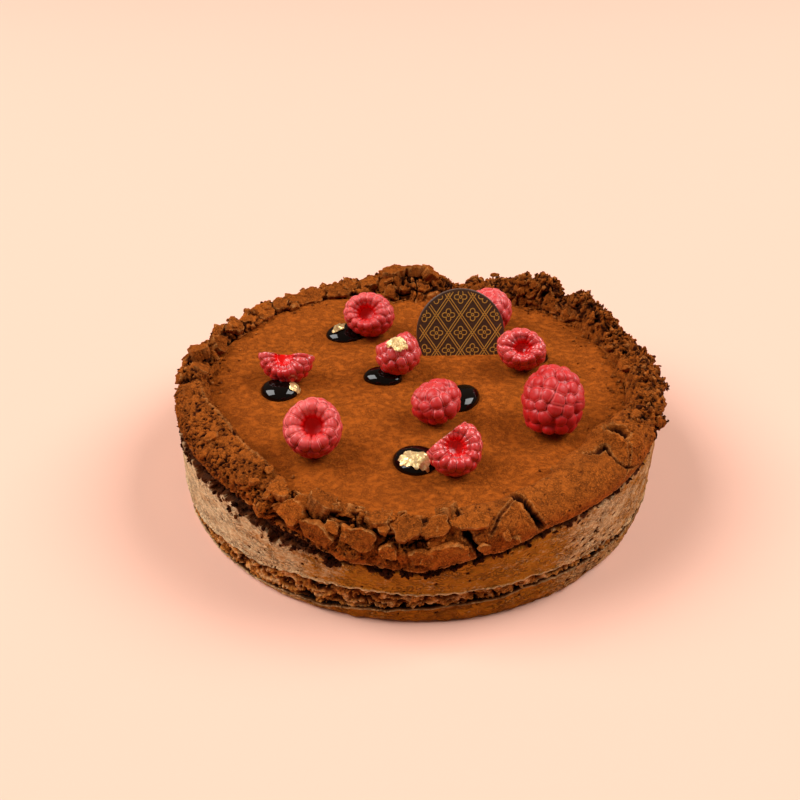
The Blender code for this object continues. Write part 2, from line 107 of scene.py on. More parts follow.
# Where the side's layers meet, by angle: (angle, height of the base's top edge, of the sponge's top edge, and
# how far the hollow under the crust, darkened as painted shade, reaches down).
SIDE_EDGES = np.array([
    (-180, 4.0, 10.0, 3.0), (-150, 2.6, 8.5, 5.5), (-129, 2.2, 11.5, 6.0), (-112, 3.4, 15.0, 3.0),
    (-100, 5.6, 15.2, 1.4), (-92, 7.1, 14.4, 1.2), (-80, 8.6, 15.0, 1.2), (-63, 10.3, 15.0, 1.6),
    (-48, 9.4, 13.4, 2.0), (-35, 7.6, 11.4, 1.6), (-20, 6.0, 9.5, 1.4), (0, 5.0, 9.0, 1.6),
    (30, 6.0, 11.0, 1.6), (60, 7.0, 14.0, 2.0), (90, 6.5, 14.5, 2.5), (120, 5.5, 14.0, 2.0), (150, 5.0, 12.0, 2.0),
])


def linear(code: str) -> tuple[float, float, float, float]:
    """Turns an sRGB hex colour into the linear colour that a shader takes.

    Args:
        code: Six hex digits, two each for red, green and blue.

    Returns:
        The linear red, green, blue and an alpha of 1.
    """
    parts = [int(code[i:i + 2], 16) / 255 for i in (0, 2, 4)]
    red, green, blue = (p / 12.92 if p <= 0.04045 else ((p + 0.055) / 1.055) ** 2.4 for p in parts)
    return red, green, blue, 1.0


def smoothly(share: Array) -> Array:
    """Eases a share from 0 to 1 as 3 s^2 - 2 s^3, held at its ends."""
    share = np.clip(share, 0.0, 1.0)
    return share * share * (3 - 2 * share)


def peak(value: Array, middle: float, width: float) -> Array:
    """1 where a value is at the middle, eased to 0 at width to either side of it."""
    return smoothly(1 - np.abs(value - middle) / width)


def by_angle(table: Array, angles: Array) -> Array:
    """Reads a table of values by angle, eased from row to row and closed round the full turn.

    Args:
        table: Rows of an angle in degrees and then values, in rising order of angle.
        angles: The angles to read, in degrees.

    Returns:
        The values, in a first axis before the shape of angles.
    """
    starts = (table[:, 0] - table[0, 0]) % 360
    turned = (np.asarray(angles) - table[0, 0]) % 360
    index = np.searchsorted(starts, turned, side="right") - 1
    after = (index + 1) % len(table)
    share = smoothly((turned - starts[index]) / ((starts[after] - starts[index]) % 360))
    return np.moveaxis(table[index, 1:] + (table[after, 1:] - table[index, 1:]) * share[..., None], -1, 0)


def window(angles: Array, start: float, end: float, ease: float) -> Array:
    """1 between two angles, 0 outside them, eased over ease degrees inside each end."""
    inside = (np.asarray(angles) - start) % 360
    return smoothly(inside / ease) * smoothly((((end - start) % 360) - inside) / ease)


def turned(radius: Array, angles: Array, height: Array) -> Array:
    """Points at a radius, an angle in degrees and a height."""
    radius, angles, height = np.broadcast_arrays(radius, angles, height)
    return np.stack([radius * np.cos(np.radians(angles)), radius * np.sin(np.radians(angles)), height], -1)


def spun(x: Array, y: Array, turn: float) -> tuple[Array, Array]:
    """Places in the plane, turned about its origin by turn degrees."""
    cosine, sine = math.cos(math.radians(turn)), math.sin(math.radians(turn))
    return x * cosine - y * sine, x * sine + y * cosine


def direction(azimuth: float, elevation: float) -> Vector:
    """The way to an azimuth and an elevation in degrees."""
    azimuth, elevation = math.radians(azimuth), math.radians(elevation)
    level = math.cos(elevation)
    return Vector((level * math.cos(azimuth), level * math.sin(azimuth), math.sin(elevation)))


def lengths_along(path: Array) -> Array:
    """How far each point of a path lies from its start, along it."""
    return np.concatenate([[0], np.cumsum(np.linalg.norm(np.diff(path, axis=0), axis=1))])


def spread_sizes(draw: np.random.Generator, least: float, most: float, count: int) -> Array:
    """Random sizes, spread evenly in their logarithm."""
    return np.exp(draw.uniform(math.log(least), math.log(most), count))


def unit_disc(rows: int, columns: int) -> tuple[Array, Array]:
    """A square grid mapped to a disc of radius 1, by x sqrt(1 - y^2 / 2) and y sqrt(1 - x^2 / 2)."""
    x, y = np.meshgrid(np.linspace(-1, 1, columns), np.linspace(-1, 1, rows))
    return x * np.sqrt(1 - y * y / 2), y * np.sqrt(1 - x * x / 2)


class Grain:
    """Repeatable noise in space, worked out for whole arrays of points."""

    def __init__(self, seed: int) -> None:
        """Draws the tables that the noise reads."""
        draw = np.random.default_rng(seed)
        self.order = draw.permutation(256)
        slopes = draw.normal(size=(256, 3))
        self.slopes = slopes / np.linalg.norm(slopes, axis=1, keepdims=True)
        self.places = draw.random((256, 3))

    def _number(self, cell: Array) -> Array:
        """A number from 0 to 255 for each whole cell of space."""
        order = self.order
        return order[(order[(order[cell[..., 0] & 255] + cell[..., 1]) & 255] + cell[..., 2]) & 255]

    def waves(self, points: Array, size: float | tuple[float, float, float], octaves: int = 1) -> Array:
        """Gradient noise: slopes at the corners of each cell, blended by the quintic fade.

        Args:
            points: The points, in mm.
            size: The width of a cell in mm, or its widths along X, Y and Z.
            octaves: How many layers are summed, each half as wide and half as strong as the last.

        Returns:
            The noise at each point, about -1 to 1.
        """
        total = np.zeros(points.shape[:-1])
        for layer in range(octaves):
            place = points / np.asarray(size) * 2.0 ** layer + 17.3 * layer
            cell = np.floor(place).astype(int)
            inside = place - cell
            fade = inside ** 3 * (inside * (inside * 6 - 15) + 10)
            for corner in np.ndindex(2, 2, 2):
                step = np.array(corner)
                slope = self.slopes[self._number(cell + step)]
                weight = np.prod(np.where(step == 1, fade, 1 - fade), axis=-1)
                total += weight * ((inside - step) * slope).sum(-1) * 1.6 / 2 ** layer
        return total

    def cells(self, points: Array, size: float) -> tuple[Array, Array, Array, Array]:
        """Cellular noise: each cell of space holds one centre, and a point belongs to the nearest.

        Args:
            points: The points, in mm.
            size: The width of a cell, in mm.

        Returns:
            Distance to the nearest centre and to the next one, in cells, the nearest one's number, and the
            way from it to the point in cells.
        """
        place = points / size
        home = np.floor(place).astype(int)
        first, second = np.full((2, *place.shape[:-1]), FAR)
        number = np.zeros(place.shape[:-1], int)
        offset = np.zeros(place.shape)
        for step in np.ndindex(3, 3, 3):
            cell = home + np.array(step) - 1
            code = self._number(cell)
            away = place - cell - self.places[code]
            reach = np.sqrt((away * away).sum(-1))
            nearer = reach < first
            second = np.where(nearer, first, np.minimum(second, reach))
            first = np.where(nearer, reach, first)
            number = np.where(nearer, code, number)
            offset = np.where(nearer[..., None], away, offset)
        return first, second, number, offset

    def ridges(self, points: Array, size: float | tuple[float, float, float], steep: float) -> Array:
        """1 less steep times the size of a wave, so 1 along lines and less between them."""
        return 1 - steep * np.abs(self.waves(points, size))

    def bend(self, points: Array, size: float, shifts: tuple[float, float, float]) -> Array:
        """Three noises as one vector at each point, each read a shift in mm away."""
        return np.stack([self.waves(points + shift, size) for shift in shifts], -1)

    def holes(self, points: Array, size: float, radius: tuple[float, float], ease: float, column: int,
              above: float | Array) -> Array:
        """Round holes about the centres of the cells, where 1 is inside a hole and 0 outside.

        Args:
            points: The points, in mm.
            size: The width of a cell, in mm.
            radius: The least radius of a hole and how much a random number adds to it, in cells.
            ease: Over how many cells a hole's edge slopes.
            column: Which of a centre's random numbers says whether it has a hole.
            above: What that number has to be over.

        Returns:
            The depth at each point, from 0 to 1.
        """
        first, _, number, _ = self.cells(points, size)
        return smoothly((radius[0] + radius[1] * self.places[number, 2] - first) / ease) \
            * (self.places[number, column] > above)


GRAIN = Grain(5)


def spline(stations: Array, steps: Array, closed: bool) -> Array:
    """Carries a Catmull-Rom curve through stations.

    Args:
        stations: The stations, in the second axis from the end, with coordinates last.
        steps: Where to read the curve, counted in stations.
        closed: Whether the curve runs on from its last station to its first.

    Returns:
        The points, with steps in the place of the stations' axis.
    """
    count = stations.shape[-2]
    start = np.floor(steps).astype(int)
    share = (steps - start)[:, None]
    around = [start + i for i in (-1, 0, 1, 2)]
    around = [i % count if closed else np.clip(i, 0, count - 1) for i in around]
    a, b, c, d = (stations[..., i, :] for i in around)
    return 0.5 * (2 * b + (c - a) * share + (2 * a - 5 * b + 4 * c - d) * share ** 2
                  + (3 * b - a - 3 * c + d) * share ** 3)


def grid_normals(points: Array, wrap_rows: bool, wrap_columns: bool) -> Array:
    """Unit normals of a grid of points, from the cross product of its two central differences."""
    def difference(axis: int, wrap: bool) -> Array:
        if wrap:
            return np.roll(points, -1, axis) - np.roll(points, 1, axis)
        return np.gradient(points, axis=axis)

    normal = np.cross(difference(1, wrap_columns), difference(0, wrap_rows))
    return normal / np.maximum(np.linalg.norm(normal, axis=-1, keepdims=True), 1e-9)


def grid_faces(rows: int, columns: int, wrap_rows: bool, wrap_columns: bool) -> Array:
    """Four-cornered faces between the points of a grid, numbered row by row."""
    row = np.arange(rows if wrap_rows else rows - 1)
    column = np.arange(columns if wrap_columns else columns - 1)
    row, column = (part.ravel() for part in np.meshgrid(row, column, indexing="ij"))
    below, beside = (row + 1) % rows, (column + 1) % columns
    return np.stack([row * columns + column, row * columns + beside, below * columns + beside,
                     below * columns + column], -1)


def grid_loop(rows: int, columns: int) -> Array:
    """The numbers of the points on a grid's outline, once round it."""
    number = np.arange(rows * columns).reshape(rows, columns)
    return np.concatenate([number[0, :-1], number[:-1, -1], number[-1, :0:-1], number[:0:-1, 0]])


@dataclass
class Shape:
    """Points in mm with faces, and values kept at the points for the material to read."""

    points: Array
    faces: list[Array]
    values: dict[str, Array] = field(default_factory=dict)

    @staticmethod
    def grid(points: Array, wrap_rows: bool = False, wrap_columns: bool = True,
             start: Array | None = None, end: Array | None = None, **values: Array) -> "Shape":
        """A grid of points as a surface.

        Args:
            points: The grid, with rows, columns and coordinates as its axes.
            wrap_rows: Whether the last row joins the first.
            wrap_columns: Whether the last column joins the first.
            start: A single point that closes the first row as a fan.
            end: A single point that closes the last row as a fan.
            **values: Values at the grid's points. The closing points take the mean of their row.

        Returns:
            The shape.
        """
        rows, columns = points.shape[:2]
        everything = [points.reshape(-1, 3)]
        faces = [grid_faces(rows, columns, wrap_rows, wrap_columns)]
        kept = {name: [value.ravel()] for name, value in values.items()}
        ring = np.arange(columns)
        number = rows * columns
        for pole, row, ahead in ((start, 0, True), (end, rows - 1, False)):
            if pole is None:
                continue
            here, beside = row * columns + ring, row * columns + np.roll(ring, -1)
            if ahead:
                here, beside = beside, here
            faces.append(np.stack([here, beside, np.full(columns, number)], -1))
            everything.append(np.asarray(pole, float).reshape(1, 3))
            for name, value in values.items():
                kept[name].append(np.array([value[row].mean()]))
            number += 1
        return Shape(np.concatenate(everything), faces, {n: np.concatenate(v) for n, v in kept.items()})

    @staticmethod
    def joined(shapes: list["Shape"]) -> "Shape":
        """Several shapes as one."""
        shift = np.cumsum([0] + [len(shape.points) for shape in shapes])
        faces = [part + start for shape, start in zip(shapes, shift) for part in shape.faces]
        names = shapes[0].values
        return Shape(np.concatenate([shape.points for shape in shapes]), faces,
                     {name: np.concatenate([shape.values[name] for shape in shapes]) for name in names})

    def volume(self) -> float:
        """The signed volume inside the faces, as a sum of tetrahedra from the origin."""
        total = 0.0
        for part in self.faces:
            corner = self.points[part[:, 0]]
            for i in range(1, part.shape[1] - 1):
                total += np.einsum("ij,ij->", corner, np.cross(self.points[part[:, i]], self.points[part[:, i + 1]]))
        return total / 6

    def mesh(self, name: str, material: Material, smooth: bool = True) -> Mesh:
        """Turns the shape into a mesh in metres, with its faces outward.

        Args:
            name: The mesh's name.
            material: The material of every face.
            smooth: Whether the faces are shaded as one smooth surface.

        Returns:
            The mesh.
        """
        faces = self.faces if self.volume() > 0 else [part[:, ::-1] for part in self.faces]
        mesh = bpy.data.meshes.new(name)
        sizes = np.concatenate([np.full(len(part), part.shape[1]) for part in faces])
        corners = np.concatenate([part.ravel() for part in faces])
        mesh.vertices.add(len(self.points))
        mesh.loops.add(len(corners))
        mesh.polygons.add(len(sizes))
        mesh.vertices.foreach_set("co", (self.points * MM).astype(np.float32).ravel())
        mesh.loops.foreach_set("vertex_index", corners.astype(np.int32))
        mesh.polygons.foreach_set("loop_start", (np.cumsum(sizes) - sizes).astype(np.int32))
        mesh.polygons.foreach_set("use_smooth", np.full(len(sizes), smooth))
        mesh.update(calc_edges=True)
        for label, value in self.values.items():
            kept = mesh.attributes.new(label, "FLOAT", "POINT")
            kept.data.foreach_set("value", value.astype(np.float32))
        mesh.materials.append(material)
        mesh.validate()
        return mesh


def put(name: str, data: ID) -> Object:
    """Links a new object into the scene."""
    made = bpy.data.objects.new(name, data)
    bpy.context.scene.collection.objects.link(made)
    return made


def add_piece(mesh: Mesh, slot: str, *nodes: str) -> Object:
    """Puts a mesh into the scene as a piece of the cake.

    Args:
        mesh: The mesh, whose name the piece takes.
        slot: The name of a material slot; it is not used.
        *nodes: The frame's nodes that it stands for.

    Returns:
        The piece.
    """
    piece = put(mesh.name, mesh)
    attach(piece, BODY)
    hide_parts(*nodes)
    LOG.info("%s: %d faces", mesh.name, len(mesh.polygons))
    return piece


def set_inputs(node: Node, inputs: dict) -> None:
    """Sets a node's inputs, each by its name or number, to a value or to the output that is linked to it."""
    for name, value in inputs.items():
        if isinstance(value, NodeSocket):
            node.id_data.links.new(value, node.inputs[name])
        else:
            node.inputs[name].default_value = value


def add_node(tree: NodeTree, kind: str, inputs: dict | None = None, output: int | str = 0,
             **settings: object) -> NodeSocket:
    """Adds a node to a material.

    Args:
        tree: The material's node tree.
        kind: The node's type, less the ShaderNode that every type starts with.
        inputs: For each input's name or number, a value, or the output that is linked to it.
        output: The name or the number of the output that is wanted.
        **settings: The node's own settings.

    Returns:
        That output.
    """
    made = tree.nodes.new("ShaderNode" + kind)
    for name, value in settings.items():
        setattr(made, name, value)
    set_inputs(made, inputs or {})
    return made.outputs[output]


def new_material(name: str) -> tuple[Material, Callable[..., NodeSocket], Node]:
    """A material with nothing in it but a Principled shader, what adds nodes to it, and that shader."""
    material = bpy.data.materials.new(name)
    material.use_nodes = True
    return material, partial(add_node, material.node_tree), material.node_tree.nodes["Principled BSDF"]


@dataclass(frozen=True)
class PowderedFinish:
    """A matt food surface: cake, crust or powder, with painted shade in its hollows and a painted highlight on its
    edges.

    Three values are kept at the points: depth is 0 deep in a hollow and 1 on the highest parts, tone is -1 to 1,
    and edge is 1 on a broken edge. From the deepest parts up the colours are hollow and shade, both painted shade,
    and then a grain of dark and light, with rim, a painted highlight, on the edges.

    grain, blotch, crease and fold are the widths of the grain, the soft blotches, the short wavy creases and the
    long folds, and relief is the depth of the bump, all in mm. drift is how much the blotches show, the crease and
    fold shade values how dark the painted shade in the grooves of the creases and folds is, contrast how softly dark
    goes over to light, and stretch scales the whole pattern along X, Y and Z.
    """

    name: str
    light: str
    dark: str
    hollow: str
    shade: str
    rim: str
    grain: float
    relief: float
    crease: float = 1.4
    crease_shade: float = 0.5
    contrast: float = 0.26
    roughness: float = 0.95
    specular: float = 0.25
    blotch: float = 9.0
    drift: float = 1.0
    fold: float = 4.0
    fold_shade: float = 0.0
    stretch: tuple[float, float, float] = (1.0, 1.0, 1.0)

    def make(self) -> Material:
        """Builds the material. The fold lines are the contours of a slow noise: the sine of FOLD_LINES times it."""
        material, add, shader = new_material(self.name)
        place = add("Mapping", {"Vector": add("TexCoord", output="Object"), "Scale": self.stretch})
        fine, broad, line, patch, fold = (
            add("TexNoise", {"Vector": place, "Scale": 1 / (size * MM), "Detail": detail, "Roughness": roughness,
                             "Distortion": distortion})
            for size, detail, roughness, distortion in (
                (self.grain, 3.0, 0.7, 0.4), (self.blotch, 3.0, 0.6, 0.0), (self.crease, 1.0, 0.5, 1.2),
                (2.6 * self.crease, 1.0, 0.5, 0.0), (self.fold, 1.0, 0.4, 1.6)))
        # The crease lines, and below them the fold lines, are grooves in the bump whose colour goes to hollow: painted
        # shade.
        line = add("Math", {0: line, 1: 0.5}, operation="SUBTRACT")
        line = add("Math", {0: line}, operation="ABSOLUTE")
        line = add("MapRange", {0: line, 1: 0.0, 2: 0.13, 3: 1.0, 4: 0.0})
        patch = add("MapRange", {0: patch, 1: 0.30, 2: 0.55})
        for factor in (patch, self.crease_shade):
            line = add("Math", {0: line, 1: factor}, operation="MULTIPLY")
        fold = add("Math", {0: fold, 1: FOLD_LINES}, operation="MULTIPLY")
        fold = add("Math", {0: fold}, operation="SINE")
        fold = add("MapRange", {0: fold, 1: -0.9, 2: -0.1, 3: self.fold_shade, 4: 0.0})
        kept = add("Math", {0: patch, 1: -0.7, 2: 1.0}, operation="MULTIPLY_ADD")
        fold = add("Math", {0: fold, 1: kept}, operation="MULTIPLY")
        line = add("Math", {0: line, 1: fold}, operation="MAXIMUM")
        tone, depth, edge = (add("Attribute", output="Fac", attribute_name=name) for name in ("tone", "depth", "edge"))
        share = add("Math", {0: broad, 1: self.drift}, operation="MULTIPLY")
        for part, factor in ((fine, 2.0), (tone, 0.35)):
            share = add("Math", {0: part, 1: factor, 2: share}, operation="MULTIPLY_ADD")
        middle = 1 + 0.5 * self.drift
        share = add("MapRange", {0: share, 1: middle - self.contrast, 2: middle + self.contrast})
        # rim paints a highlight on the edges.
        top = linear(self.dark)
        for part, over in ((share, self.light), (edge, self.rim), (line, self.hollow)):
            top = add("Mix", {0: part, 6: top, 7: linear(over)}, 2, data_type="RGBA")
        # Low depth takes the colour to shade and then to hollow: painted shade in the hollows.
        colour = linear(self.hollow)
        for low, high, over in ((0.02, 0.50, linear(self.shade)), (0.40, 0.78, top)):
            proud = add("MapRange", {0: depth, 1: low, 2: high})
            colour = add("Mix", {0: proud, 6: colour, 7: over}, 2, data_type="RGBA")
        raised = add("Math", {0: fine, 1: line}, operation="SUBTRACT")
        bump = add("Bump", {"Height": raised, "Distance": self.relief * MM, "Strength": 1.0})
        set_inputs(shader, {"Base Color": colour, "Normal": bump, "Roughness": self.roughness,
                            "Specular IOR Level": self.specular})
        return material


@dataclass(frozen=True)
class BerryFinish:
    """Raspberry skin: red juicy flesh under a pale coat that is partly a thin waxy bloom and partly painted highlight,
    deeper red in the hollow, and darker red in the creases as painted shade.

    Four values are kept at the points: depth is 0 where drupelets meet, tone is -1 to 1, inside is 1 in the
    hollow, and the fourth is how much of the pale bloom and painted highlight is on.
    """

    name: str
    flesh: str = "C01010"
    crease: str = "780606"
    bloom_and_highlight: str = "EE7470"
    hollow: str = "EC0C08"
    bloom_and_highlight_share: float = 0.50
    roughness: float = 0.46
    coat: float = 0.10

    def make(self) -> Material:
        """Builds the material: the pale bloom and painted highlight are strongest on a drupelet's outline and on its
        top.
        """
        material, add, shader = new_material(self.name)
        place = add("TexCoord", output="Object")
        fine = add("TexNoise", {"Vector": place, "Scale": 1 / (0.7 * MM), "Detail": 3.0, "Roughness": 0.6})
        tone, depth, inside, bloom_and_highlight_amount = (
            add("Attribute", output="Fac", attribute_name=name) for name in ("tone", "depth", "inside", "bloom_and_highlight"))
        # Below a small depth the colour goes to crease: painted shade where drupelets meet.
        proud = add("MapRange", {0: depth, 1: 0.0, 2: 0.16})
        # A pale outline round each drupelet and a paler top: painted highlight, with some real bloom.
        outline = add("Math", {0: depth, 1: 0.30}, operation="SUBTRACT")
        outline = add("Math", {0: outline}, operation="ABSOLUTE")
        outline = add("MapRange", {0: outline, 1: 0.04, 2: 0.22, 3: 2.0 * self.bloom_and_highlight_share, 4: 0.0})
        bloom_and_highlight_mask = add("MapRange", {0: depth, 1: 0.5, 2: 1.0, 3: 0.1, 4: 0.7 * self.bloom_and_highlight_share})
        bloom_and_highlight_mask = add("Math", {0: bloom_and_highlight_mask, 1: outline}, operation="ADD")
        spread = add("Math", {0: tone, 1: 0.4, 2: 0.55}, operation="MULTIPLY_ADD")
        spread = add("Math", {0: spread, 1: fine}, operation="ADD")
        bloom_and_highlight_mask = add("Math", {0: bloom_and_highlight_mask, 1: spread}, operation="MULTIPLY", use_clamp=True)
        bloom_and_highlight_mask = add("Math", {0: bloom_and_highlight_mask, 1: bloom_and_highlight_amount}, operation="MULTIPLY")
        colour = linear(self.crease)
        for part, over in ((proud, self.flesh), (bloom_and_highlight_mask, self.bloom_and_highlight), (inside, self.hollow)):
            colour = add("Mix", {0: part, 6: colour, 7: linear(over)}, 2, data_type="RGBA")
        bump = add("Bump", {"Height": fine, "Distance": 0.08 * MM, "Strength": 1.0})
        set_inputs(shader, {
            "Base Color": colour, "Normal": bump, "Roughness": self.roughness, "IOR": 1.40,
            "Subsurface Weight": 0.55, "Subsurface Radius": (1.0, 0.16, 0.10), "Subsurface Scale": 2.0 * MM,
            "Coat Weight": self.coat, "Coat Roughness": 0.12,
            "Sheen Weight": 0.10, "Sheen Roughness": 0.45, "Sheen Tint": linear(self.bloom_and_highlight)})
        return material


@dataclass(frozen=True)
class SolidFinish:
    """A plain solid with a faint mottle and a fine bump: glaze, tempered chocolate or metal leaf."""

    name: str
    light: str
    dark: str
    mottle: float
    relief: float
    roughness: float
    metallic: float = 0.0
    ior: float = 1.5

    def make(self) -> Material:
        """Builds the material."""
        material, add, shader = new_material(self.name)
        mottle = add("TexNoise", {"Vector": add("TexCoord", output="Object"), "Scale": 1 / (self.mottle * MM),
                                  "Detail": 4.0, "Roughness": 0.6})
        share = add("MapRange", {0: mottle, 1: 0.3, 2: 0.7})
        colour = add("Mix", {0: share, 6: linear(self.dark), 7: linear(self.light)}, 2, data_type="RGBA")
        bump = add("Bump", {"Height": mottle, "Distance": self.relief * MM, "Strength": 1.0})
        set_inputs(shader, {"Base Color": colour, "Normal": bump, "Roughness": self.roughness,
                            "Metallic": self.metallic, "IOR": self.ior})
        return material


# Cocoa powder, sifted: a fine fatty powder in soft uneven drifts, matt, creased where it dried, with painted shade in
# its creases and low spots.
COCOA = PowderedFinish("cocoa powder, sifted", "CE6A1E", "A04C14", "52240A", "8A4210", "CC7428", 0.42, 0.80,
                       roughness=1.0, specular=0.06, crease=0.8, crease_shade=0.48, contrast=0.78, blotch=16.0, drift=0.12,
                       stretch=(0.8, 1.0, 1.0))
# Baked chocolate crust, broken by hand and dusted: dry open crumb, dark in its hollows and cracks, partly where the
# powder didn't reach and partly as painted shade, with a painted highlight on its broken edges.
CRUST = PowderedFinish("chocolate crust, baked and broken", "C46620", "8A4412", "0E0402", "50220A", "E8A45C", 0.5, 0.5,
                       specular=0.06, crease=1.1, crease_shade=0.60, contrast=0.55, drift=0.5, fold=4.0, fold_shade=0.32)
# Chocolate mousse, set against a mould: smooth and closed, greyer than the crumb, with a dull fatty gloss, and painted
# shade in its pits and in the hollow under the crust.
MOUSSE = PowderedFinish("chocolate mousse, moulded", "EACDA0", "B46E18", "24120A", "6A3410", "F8D4A0", 0.7, 0.55,
                        crease=1.4, crease_shade=0.64, contrast=0.58, roughness=0.7, specular=0.06, blotch=5.0, fold=5.5,
                        fold_shade=0.28, stretch=(0.55, 0.55, 1.0))
# Chocolate sponge, cut: open red-brown crumb in ragged sheets, with painted shade in its holes and a painted highlight
# on the sheets' edges.
SPONGE = PowderedFinish("chocolate sponge, cut", "F09C4C", "B0641E", "160802", "743812", "F0B478", 0.6, 0.5,
                        contrast=0.45, specular=0.06)
# Dense chocolate base, pressed: close crumb, smooth with a few pits that are darkened as painted shade, and a painted
# highlight along its top and bottom edges.
BASE = PowderedFinish("chocolate base, pressed", "E8C08C", "AC6612", "180A02", "5C2C0A", "F0C898", 0.7, 0.55,
                      crease=1.5, crease_shade=0.70, contrast=0.56, roughness=0.75, specular=0.06, fold=5.0, fold_shade=0.45,
                      stretch=(0.55, 0.55, 1.0))
# Fresh raspberry with its pale bloom and painted highlight still on, and one whose torn skin is wet with juice.
FRESH = BerryFinish("raspberry, fresh with bloom")
WET = BerryFinish("raspberry, torn and wet", bloom_and_highlight_share=0.46, roughness=0.28, coat=0.35)
# Dark chocolate glaze, dropped warm: nearly black, set to a mirror.
GLAZE = SolidFinish("dark chocolate glaze, poured", "0C0604", "080403", 6.0, 0.0, 0.05, ior=1.42)
# Dark chocolate, tempered on a textured sheet: satin with a fine diagonal weave.
TEMPERED = SolidFinish("dark chocolate, tempered", "4E3422", "3C2616", 0.8, 0.05, 0.42)
# Coloured cocoa butter, printed: satin gold.
GOLD_PRINT = SolidFinish("cocoa butter, printed gold", "DCA448", "C48A34", 1.0, 0.0, 0.38, metallic=0.25)
# Gold leaf, torn and crumpled: bright metal a fraction of a micron thick.
GOLD_LEAF = SolidFinish("gold leaf, crumpled", "FFE4AC", "E0AC5C", 0.7, 0.12, 0.32, metallic=0.6)


def facet_shape(draw: np.random.Generator, rows: int, columns: int, sides: int) -> tuple[Array, list[Array]]:
    """A small broken lump: a ball cut by flat planes at random.

    Along each direction the surface lies at the nearest plane's distance over the cosine to its normal.

    Args:
        draw: The source of random numbers.
        rows: Rows of points between the poles.
        columns: Points round each row.
        sides: How many planes cut the ball.

    Returns:
        The points and the faces.
    """
    polar = np.pi * (np.arange(rows) + 1) / (rows + 1)
    turn = 2 * np.pi * np.arange(columns) / columns
    ways = np.stack([np.sin(polar)[:, None] * np.cos(turn), np.sin(polar)[:, None] * np.sin(turn),
                     np.repeat(np.cos(polar)[:, None], columns, 1)], -1)
    ways = np.concatenate([ways.reshape(-1, 3), [(0, 0, 1)], [(0, 0, -1)]])
    planes = draw.normal(size=(sides, 3))
    planes /= np.linalg.norm(planes, axis=1, keepdims=True)
    reach = draw.uniform(0.55, 0.95, sides)
    cosine = ways @ planes.T
    away = np.where(cosine > 0.05, reach / np.maximum(cosine, 0.05), FAR).min(1)
    points = ways * np.minimum(away, 1.15)[:, None]
    grid = Shape.grid(points[:-2].reshape(rows, columns, 3), start=points[-2], end=points[-1])
    return points, grid.faces


def turn_matrices(draw: np.random.Generator, count: int) -> Array:
    """Random turns, as matrices from unit quaternions."""
    w, x, y, z = draw.normal(size=(4, count))
    size = np.sqrt(w * w + x * x + y * y + z * z)
    w, x, y, z = w / size, x / size, y / size, z / size
    return np.stack([
        np.stack([1 - 2 * (y * y + z * z), 2 * (x * y - z * w), 2 * (x * z + y * w)], -1),
        np.stack([2 * (x * y + z * w), 1 - 2 * (x * x + z * z), 2 * (y * z - x * w)], -1),
        np.stack([2 * (x * z - y * w), 2 * (y * z + x * w), 1 - 2 * (x * x + y * y)], -1)], 1)


class CrumbMaker:
    """Makes crumbs by the hundred from a few broken lumps, each turned, stretched and sized on its own."""

    def __init__(self, seed: int) -> None:
        """Makes the lumps."""
        self.draw = np.random.default_rng(seed)
        made = [facet_shape(self.draw, 3, 6, 9) for _ in range(24)]
        self.lumps = np.stack([points for points, _ in made])
        self.faces = made[0][1]

    def scatter(self, places: Array, sizes: Array, thin: tuple[float, float] = (0.35, 1.0),
                depth: tuple[float, float] = (0.55, 1.0)) -> Shape:
        """Puts one crumb at each place.

        Args:
            places: The crumbs' middles.
            sizes: Their widths.
            thin: The least and the most that a crumb's second and third width may be, as a share of its first.
            depth: The least and the most of the depth value that they are given.

        Returns:
            The crumbs as one shape.
        """
        count = len(places)
        lumps = self.lumps[self.draw.integers(0, len(self.lumps), count)]
        widths = np.stack([np.ones(count), self.draw.uniform(*thin, count), self.draw.uniform(*thin, count)], -1)
        widths *= sizes[:, None] / 2
        points = np.einsum("nij,nvj->nvi", turn_matrices(self.draw, count), lumps * widths[:, None, :])
        points += places[:, None, :]
        each = lumps.shape[1]
        shift = (np.arange(count) * each)[:, None, None]
        faces = [(part[None] + shift).reshape(-1, part.shape[1]) for part in self.faces]
        tone = np.repeat(self.draw.uniform(-1, 1, count), each)
        deep = np.repeat(self.draw.uniform(*depth, count), each)
        return Shape(points.reshape(-1, 3), faces, {"tone": tone, "depth": deep, "edge": 0.3 * np.maximum(tone, 0)})


@dataclass
class Crag:
    """Lumps on the unrolled rim, the same ones that the solid crust has."""

    seed: int = 11
    count: int = 190
    width: tuple[float, float] = (2.8, 5.6)
    height: tuple[float, float] = (1.2, 4.4)
    mean: float = 1.7

    def relief(self, angles: Array, across: Array) -> Array:
        """Height of the tallest lump over each point of the unrolled rim, where each is a paraboloid.

        Args:
            angles: The points' angles in degrees, as a row.
            across: Their places across the rim from 0 to 1, as a column.

        Returns:
            The heights, as a grid of across by angles.
        """
        draw = random.Random(self.seed)
        tallest = np.zeros((len(across), len(angles)))
        for _ in range(self.count):
            angle, place = draw.uniform(-180, 180), draw.random()
            width, height = draw.uniform(*self.width), draw.uniform(*self.height)
            along = np.radians((angles - angle + 180) % 360 - 180) * CAKE_RADIUS
            near = np.abs(along) < width
            away = along[None, near] ** 2 + (((across - place) * RIM_UNROLLED) ** 2)[:, None]
            tallest[:, near] = np.maximum(tallest[:, near], height * (1 - away / width ** 2))
        return tallest


